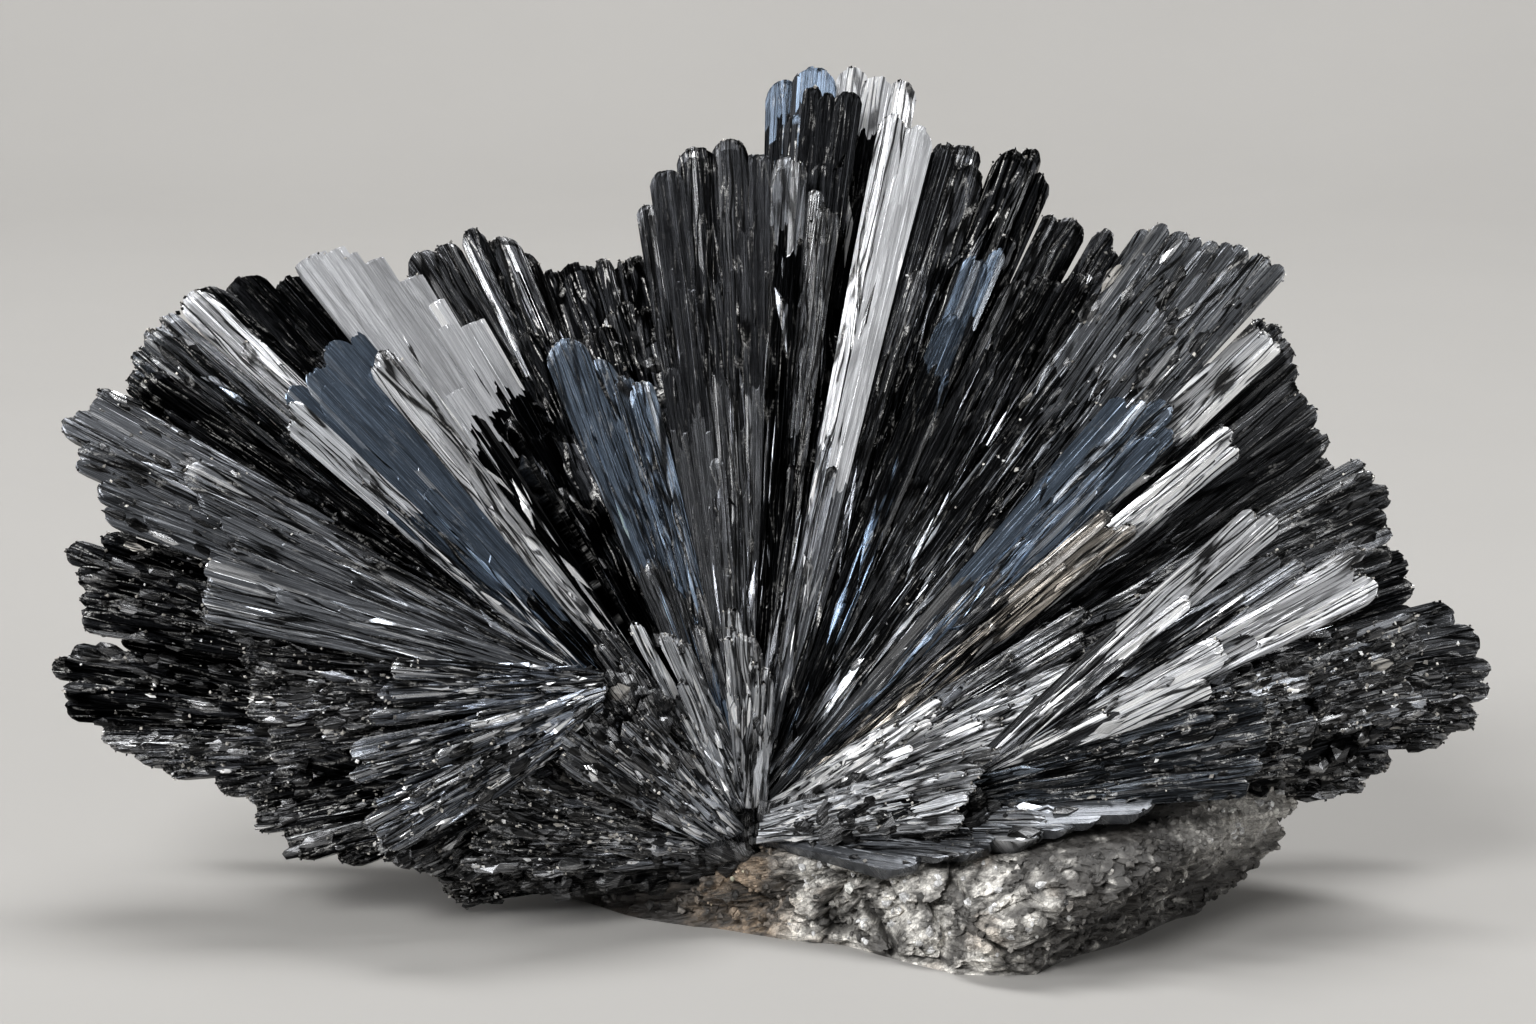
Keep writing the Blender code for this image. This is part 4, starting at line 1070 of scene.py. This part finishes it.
class Nodes:
    """Short names for the nodes of one material."""

    def __init__(self, name):
        self.material = bpy.data.materials.new(name)
        self.material.use_nodes = True
        self.tree = self.material.node_tree
        self.shader = self.tree.nodes["Principled BSDF"]

    def new(self, kind, inputs=None, **settings):
        node = self.tree.nodes.new(kind)
        for key, value in settings.items():
            setattr(node, key, value)
        for key, value in (inputs or {}).items():
            self.set(node.inputs[key], value)
        return node

    def set(self, socket, value):
        if isinstance(value, bpy.types.NodeSocket):
            self.tree.links.new(value, socket)
        else:
            socket.default_value = value

    def attribute(self, name, output):
        return self.new("ShaderNodeAttribute", attribute_name=name).outputs[output]

    def cells(self, vector, scale, **settings):
        return self.new("ShaderNodeTexVoronoi", {"Vector": vector, "Scale": scale}, **settings).outputs

    def edges(self, vector, scale=1.0, dimensions="2D"):
        """How far a place is from the nearest edge between two cells."""
        made = self.cells(vector, scale, feature="DISTANCE_TO_EDGE", voronoi_dimensions=dimensions)
        return made["Distance"]

    def scaled(self, vector, scale):
        return self.new("ShaderNodeVectorMath", {0: vector, 1: scale}, operation="MULTIPLY").outputs[0]

    def noise(self, vector, scale, detail=3.0, roughness=0.6, dimensions="3D"):
        inputs = {"Vector": vector, "Scale": scale, "Detail": detail, "Roughness": roughness}
        return self.new("ShaderNodeTexNoise", inputs, noise_dimensions=dimensions).outputs["Fac"]

    def drawn(self, vector, scale, detail=3.0, roughness=0.6):
        """Noise on a lath's flat face, drawn out along it."""
        return self.noise(self.scaled(vector, (*scale, 0.0)), 1.0, detail, roughness, "2D")

    def math(self, operation, *values, clamp=False):
        inputs = dict(enumerate(values))
        return self.new("ShaderNodeMath", inputs, operation=operation, use_clamp=clamp).outputs[0]

    def remap(self, value, low, high, to_low=0.0, to_high=1.0):
        made = self.new(
            "ShaderNodeMapRange",
            {"Value": value, "From Min": low, "From Max": high, "To Min": to_low, "To Max": to_high},
        )
        return made.outputs[0]

    def mix(self, share, first, second, blend="MIX"):
        node = self.new("ShaderNodeMix", data_type="RGBA", blend_type=blend)
        self.set(node.inputs["Factor"], share)
        self.set(node.inputs[6], first)
        self.set(node.inputs[7], second)
        return node.outputs[2]

    def bump(self, height, distance, strength=1.0, normal=None):
        node = self.new("ShaderNodeBump", {"Height": height, "Distance": distance, "Strength": strength})
        if normal is not None:
            self.set(node.inputs["Normal"], normal)
        return node.outputs[0]


# How far one lath's texture is shifted from the next one's, across and along.
LATH_STEPS = (0.73, 1.37)
# How many there are to a millimetre, across a lath and along it.
SLIVER_CELLS = (2.4, 0.075, 0.0)
THIN_CRACKS = (1.5, 0.055, 0.0)
WIDE_CRACKS = (0.7, 0.045, 0.0)
VEINS = (1.5, 0.13, 0.0)
STRIAE = (9.0, 0.2)
QUARTZ_CELLS = 2.2
# The colour of dust, the colour that darkens the edges between quartz grains, and the palest that a
# blade may be.
DUST = (0.34, 0.335, 0.325, 1)
QUARTZ_EDGE_DARK = (0.045, 0.040, 0.034, 1)
PALEST = (0.82, 0.82, 0.82, 1)
# How high the relief stands, in metres.
SLIVER_RELIEF = 0.00018
STRIAE_RELIEF = 0.00005
GRAIN_RELIEF = 0.00016
QUARTZ_RELIEF = 0.00015


def kyanite_material():
    """Dark blades: slivers and striae along each lath, with painted glints on some slivers, grainy where
    worn.
    """
    n = Nodes("black_kyanite_blades")
    part = n.new("ShaderNodeSeparateXYZ", {0: n.attribute("place", "Vector")}).outputs
    shifted = [n.math("MULTIPLY_ADD", part[2], step, part[axis]) for axis, step in enumerate(LATH_STEPS)]
    place = n.new("ShaderNodeCombineXYZ", {0: shifted[0], 1: shifted[1]}).outputs[0]
    tint = n.attribute("tint", "Color")
    metal = n.attribute("metal", "Fac")
    worn = n.attribute("worn", "Fac")
    lively = n.math("SUBTRACT", 1.0, n.attribute("calm", "Fac"))
    pale = n.new("ShaderNodeRGBToBW", {0: tint}).outputs[0]
    soft = n.math("MULTIPLY", lively, n.remap(pale, 0.08, 0.25, 1.0, 0.3))

    sway = n.drawn(place, (0.4, 0.07), 2.0, 0.5)
    swayed = n.new("ShaderNodeCombineXYZ", {0: n.remap(sway, 0.3, 0.7, -0.35, 0.35)}).outputs[0]
    swayed = n.new("ShaderNodeVectorMath", {0: place, 1: swayed}, operation="ADD").outputs[0]
    drawn = n.scaled(swayed, SLIVER_CELLS)
    cells = n.cells(drawn, 1.0, voronoi_dimensions="2D")
    cell = n.new("ShaderNodeSeparateColor", {0: cells["Color"]}).outputs
    across = n.new("ShaderNodeSeparateXYZ", {0: drawn}).outputs[0]
    centre = n.new("ShaderNodeSeparateXYZ", {0: cells["Position"]}).outputs[0]
    tilt = n.math("MULTIPLY", n.math("SUBTRACT", across, centre), n.math("SUBTRACT", cell[0], 0.5))
    striae = n.drawn(place, STRIAE, 3.0, 0.75)
    clouds = n.drawn(place, (0.5, 0.14), 2.0, 0.5)
    grains = n.noise(place, 3.2, 3.0, 0.7, "2D")
    broken = n.drawn(place, (0.9, 0.2), 2.0, 0.6)
    thin = n.remap(n.edges(n.scaled(swayed, THIN_CRACKS)), 0.04, 0.11, 1.0, 0.0)
    wide = n.remap(n.edges(n.scaled(swayed, WIDE_CRACKS)), 0.03, 0.07, 1.0, 0.0)
    crack = n.math("MAXIMUM", n.math("MULTIPLY", thin, n.remap(broken, 0.42, 0.5, 0.3, 1.0)), wide)

    bright = n.math("MULTIPLY", n.remap(striae, 0.3, 0.7, 0.15, 2.2), n.remap(clouds, 0.3, 0.7, 0.4, 1.8))
    # Painted glints: each sliver cell's colour is made brighter or darker at random, most on lively laths.
    flash = n.remap(cell[1], 0.0, 1.0, -1.0, 1.0)
    flash = n.math("POWER", 3.4, n.math("MULTIPLY", flash, n.remap(soft, 0.0, 1.0, 0.1, 1.0)))
    bright = n.math("MULTIPLY", bright, flash)
    bright = n.math("POWER", bright, n.remap(soft, 0.0, 1.0, 0.06, 1.0))
    dim = n.math("SUBTRACT", 1.0, n.math("MULTIPLY", crack, n.remap(lively, 0.04, 0.25, 0.25, 0.97)))
    tinted = n.mix(1.0, tint, n.math("MULTIPLY", bright, dim), "MULTIPLY")
    tinted = n.mix(1.0, tinted, PALEST, "DARKEN")
    patches = n.drawn(place, (0.5, 0.25), 2.0, 0.7)
    webbed = n.math("ADD", n.remap(patches, 0.46, 0.58), n.remap(worn, 0.3, 0.9), clamp=True)
    webbed = n.math("MULTIPLY", webbed, n.remap(lively, 0.05, 0.6, 0.3, 1.0))
    web = n.edges(n.scaled(swayed, VEINS))
    vein = n.math("MULTIPLY", n.remap(web, 0.0, 0.09, 1.0, 0.0), webbed)
    vein = n.math("MULTIPLY", vein, n.remap(grains, 0.40, 0.56))
    dust = n.math("MULTIPLY", n.remap(grains, 0.54, 0.68), n.remap(worn, 0.25, 1.0, 0.0, 0.7))
    dust = n.math("MAXIMUM", dust, n.math("MULTIPLY", vein, 0.8))
    colour = n.mix(dust, tinted, DUST)
    n.set(n.shader.inputs["Base Color"], colour)
    n.set(n.shader.inputs["Metallic"], n.math("MULTIPLY", metal, n.remap(dust, 0.0, 1.0, 1.0, 0.1)))
    rough = n.remap(striae, 0.3, 0.7, 0.13, 0.33)
    n.set(n.shader.inputs["Roughness"], n.math("MAXIMUM", rough, n.remap(worn, 0.3, 1.2, 0.1, 0.5)))
    relief = n.bump(tilt, SLIVER_RELIEF, n.remap(soft, 0.0, 1.0, 0.1, 1.0))
    relief = n.bump(striae, STRIAE_RELIEF, n.remap(soft, 0.0, 1.0, 0.15, 0.8), relief)
    relief = n.bump(grains, GRAIN_RELIEF, n.remap(worn, 0.1, 1.0, 0.0, 1.0), relief)
    n.set(n.shader.inputs["Normal"], relief)
    return n.material


def quartz_material():
    """Sugary quartz: glassy grains that differ in tone, darker at the edges between them."""
    n = Nodes("granular_quartz")
    place = n.attribute("place", "Vector")
    tint = n.attribute("tint", "Color")
    fine = n.noise(place, 4.5, 3.0, 0.75)
    edges = n.edges(place, QUARTZ_CELLS, "3D")
    cell = n.new("ShaderNodeSeparateColor", {0: n.cells(place, QUARTZ_CELLS)["Color"]}).outputs[0]
    bright = n.math("MULTIPLY", n.remap(cell, 0.0, 1.0, 0.65, 1.25), n.remap(fine, 0.3, 0.7, 0.6, 1.25))
    edge_dark = n.remap(edges, 0.0, 0.12, 0.45, 0.0)
    colour = n.mix(edge_dark, n.mix(1.0, tint, bright, "MULTIPLY"), QUARTZ_EDGE_DARK)
    n.set(n.shader.inputs["Base Color"], colour)
    n.set(n.shader.inputs["Roughness"], n.remap(cell, 0.0, 1.0, 0.22, 0.7))
    relief = n.bump(cell, QUARTZ_RELIEF, 0.6)
    n.set(n.shader.inputs["Normal"], n.bump(fine, QUARTZ_RELIEF, 0.8, relief))
    return n.material


# ---------------------------------------------------------------------------------------------
# The specimen

blades = kyanite_material()
groups = [
    ("back_row", MAIN_ROOT, -1, BACK_ROW),
    ("upper_fan_left", MAIN_ROOT, -1, UPPER_FAN[:LEFT_SHEAVES]),
    ("upper_fan_right", MAIN_ROOT, -1, UPPER_FAN[LEFT_SHEAVES:]),
    ("left_wing", WING_ROOT, -1, LEFT_WING),
    ("right_wing", MAIN_ROOT, -1, RIGHT_WING),
    ("right_block", BLOCK_ROOT, -1, RIGHT_BLOCK),
    ("rear_fan", REAR_ROOT, 1, rear_sheaves()),
    ("gap_sheaves", MAIN_ROOT, -1, FILLERS),
]
for name, group_root, facing, sheaves in groups:
    shapes = Shapes()
    for number, sheaf in enumerate(sheaves):
        add_sheaf(shapes, group_root, facing, sheaf, f"{name} {number}")
    piece = shapes.make(name, blades)
    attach(piece, "root")
    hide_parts("kyanite")

core_shapes = Shapes()
for number, (centre, halves) in enumerate(CORE_LUMPS):
    add_lump(core_shapes, number, centre, halves)
core = core_shapes.make("massive_core", blades)
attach(core, "root")
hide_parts("kyanite")

quartz = make_quartz(quartz_material())
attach(quartz, "root")
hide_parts("matrix")

# ---------------------------------------------------------------------------------------------
# The studio

# The camera looks square at the face, at this place on it.
AIM_AT = (1.45, 28.84, 0)
EYE_DISTANCE = FLARE_LENGTH
LENS = 100.0
SENSOR = 36.0

# The paper, in metres: it lies flat up to the curve, and then stands up as the wall.
PAPER_COLOUR = (0.40, 0.39, 0.375)
PAPER_HALF_WIDTH = 1.6
PAPER_FRONT = -0.9
CURVE_FROM = 0.45
CURVE_RADIUS = 0.35
CURVE_STEPS = 16
WALL_TOP = 1.6

# Each light's name, place, width and height in metres, and watts.
LIGHTS_AIM = (0, 0, 0.04)
LIGHTS = [
    ("key", (-0.42, -0.95, 0.85), (0.5, 0.42), 12),
    ("top", (0.1, 0.25, 1.0), (0.8, 0.3), 9),
    ("fill", (0.9, -0.75, 0.4), (0.25, 0.6), 4),
    ("left_strip", (-0.95, -0.35, 0.35), (0.2, 0.6), 7),
    ("rear", (0.35, 0.9, 0.75), (0.6, 0.4), 8),
]
WORLD_COLOUR = (0.5, 0.5, 0.5, 1)
WORLD_STRENGTH = 0.10


def matte(name, colour):
    """A plain backdrop surface with a faint cloudiness."""
    n = Nodes(name)
    where = n.new("ShaderNodeNewGeometry").outputs["Position"]
    cloud = n.noise(where, 14.0, 4.0, 0.6)
    darker = tuple(value * 0.93 for value in colour)
    n.set(n.shader.inputs["Base Color"], n.mix(cloud, (*colour, 1), (*darker, 1)))
    n.set(n.shader.inputs["Roughness"], 0.9)
    return n.material


def make_backdrop():
    """A floor that curves up into a wall."""
    profile = [(PAPER_FRONT, 0.0), (CURVE_FROM, 0.0)]
    for step in range(1, CURVE_STEPS + 1):
        angle = math.pi / 2 * step / CURVE_STEPS
        profile.append((
            CURVE_FROM + CURVE_RADIUS * math.sin(angle), CURVE_RADIUS - CURVE_RADIUS * math.cos(angle),
        ))
    profile.append((CURVE_FROM + CURVE_RADIUS, WALL_TOP))
    mesh = bpy.data.meshes.new("backdrop")
    points = [(x, y, z) for y, z in profile for x in (-PAPER_HALF_WIDTH, PAPER_HALF_WIDTH)]
    faces = [(2 * k, 2 * k + 1, 2 * k + 3, 2 * k + 2) for k in range(len(profile) - 1)]
    mesh.from_pydata(points, [], faces)
    mesh.shade_smooth()
    mesh.materials.append(matte("studio_paper", PAPER_COLOUR))
    floor = bpy.data.objects.new("backdrop", mesh)
    bpy.context.scene.collection.objects.link(floor)


def area_light(name, place, size, power):
    """A soft rectangular light that is aimed at the specimen."""
    data = bpy.data.lights.new(name, "AREA")
    data.shape = "RECTANGLE"
    data.size, data.size_y = size
    data.energy = power
    light = bpy.data.objects.new(name, data)
    light.location = place
    light.rotation_euler = (Vector(LIGHTS_AIM) - Vector(place)).to_track_quat("-Z", "Y").to_euler()
    bpy.context.scene.collection.objects.link(light)


def make_camera():
    """A long lens in front of the face, square to its lean."""
    target = Vector(face_point(*AIM_AT) * MM)
    eye = target - Vector((0, math.cos(FACE_LEAN), -math.sin(FACE_LEAN))) * EYE_DISTANCE * MM
    data = bpy.data.cameras.new("camera")
    data.lens = LENS
    data.sensor_width = SENSOR
    data.clip_start = 0.01
    camera = bpy.data.objects.new("camera", data)
    camera.location = eye
    camera.rotation_euler = (target - eye).to_track_quat("-Z", "Y").to_euler()
    bpy.context.scene.collection.objects.link(camera)
    bpy.context.scene.camera = camera


make_backdrop()
make_camera()
for light in LIGHTS:
    area_light(*light)

world = bpy.data.worlds.new("studio")
world.use_nodes = True
background = world.node_tree.nodes["Background"]
background.inputs["Color"].default_value = WORLD_COLOUR
background.inputs["Strength"].default_value = WORLD_STRENGTH
bpy.context.scene.world = world
bpy.context.scene.view_settings.view_transform = "Standard"
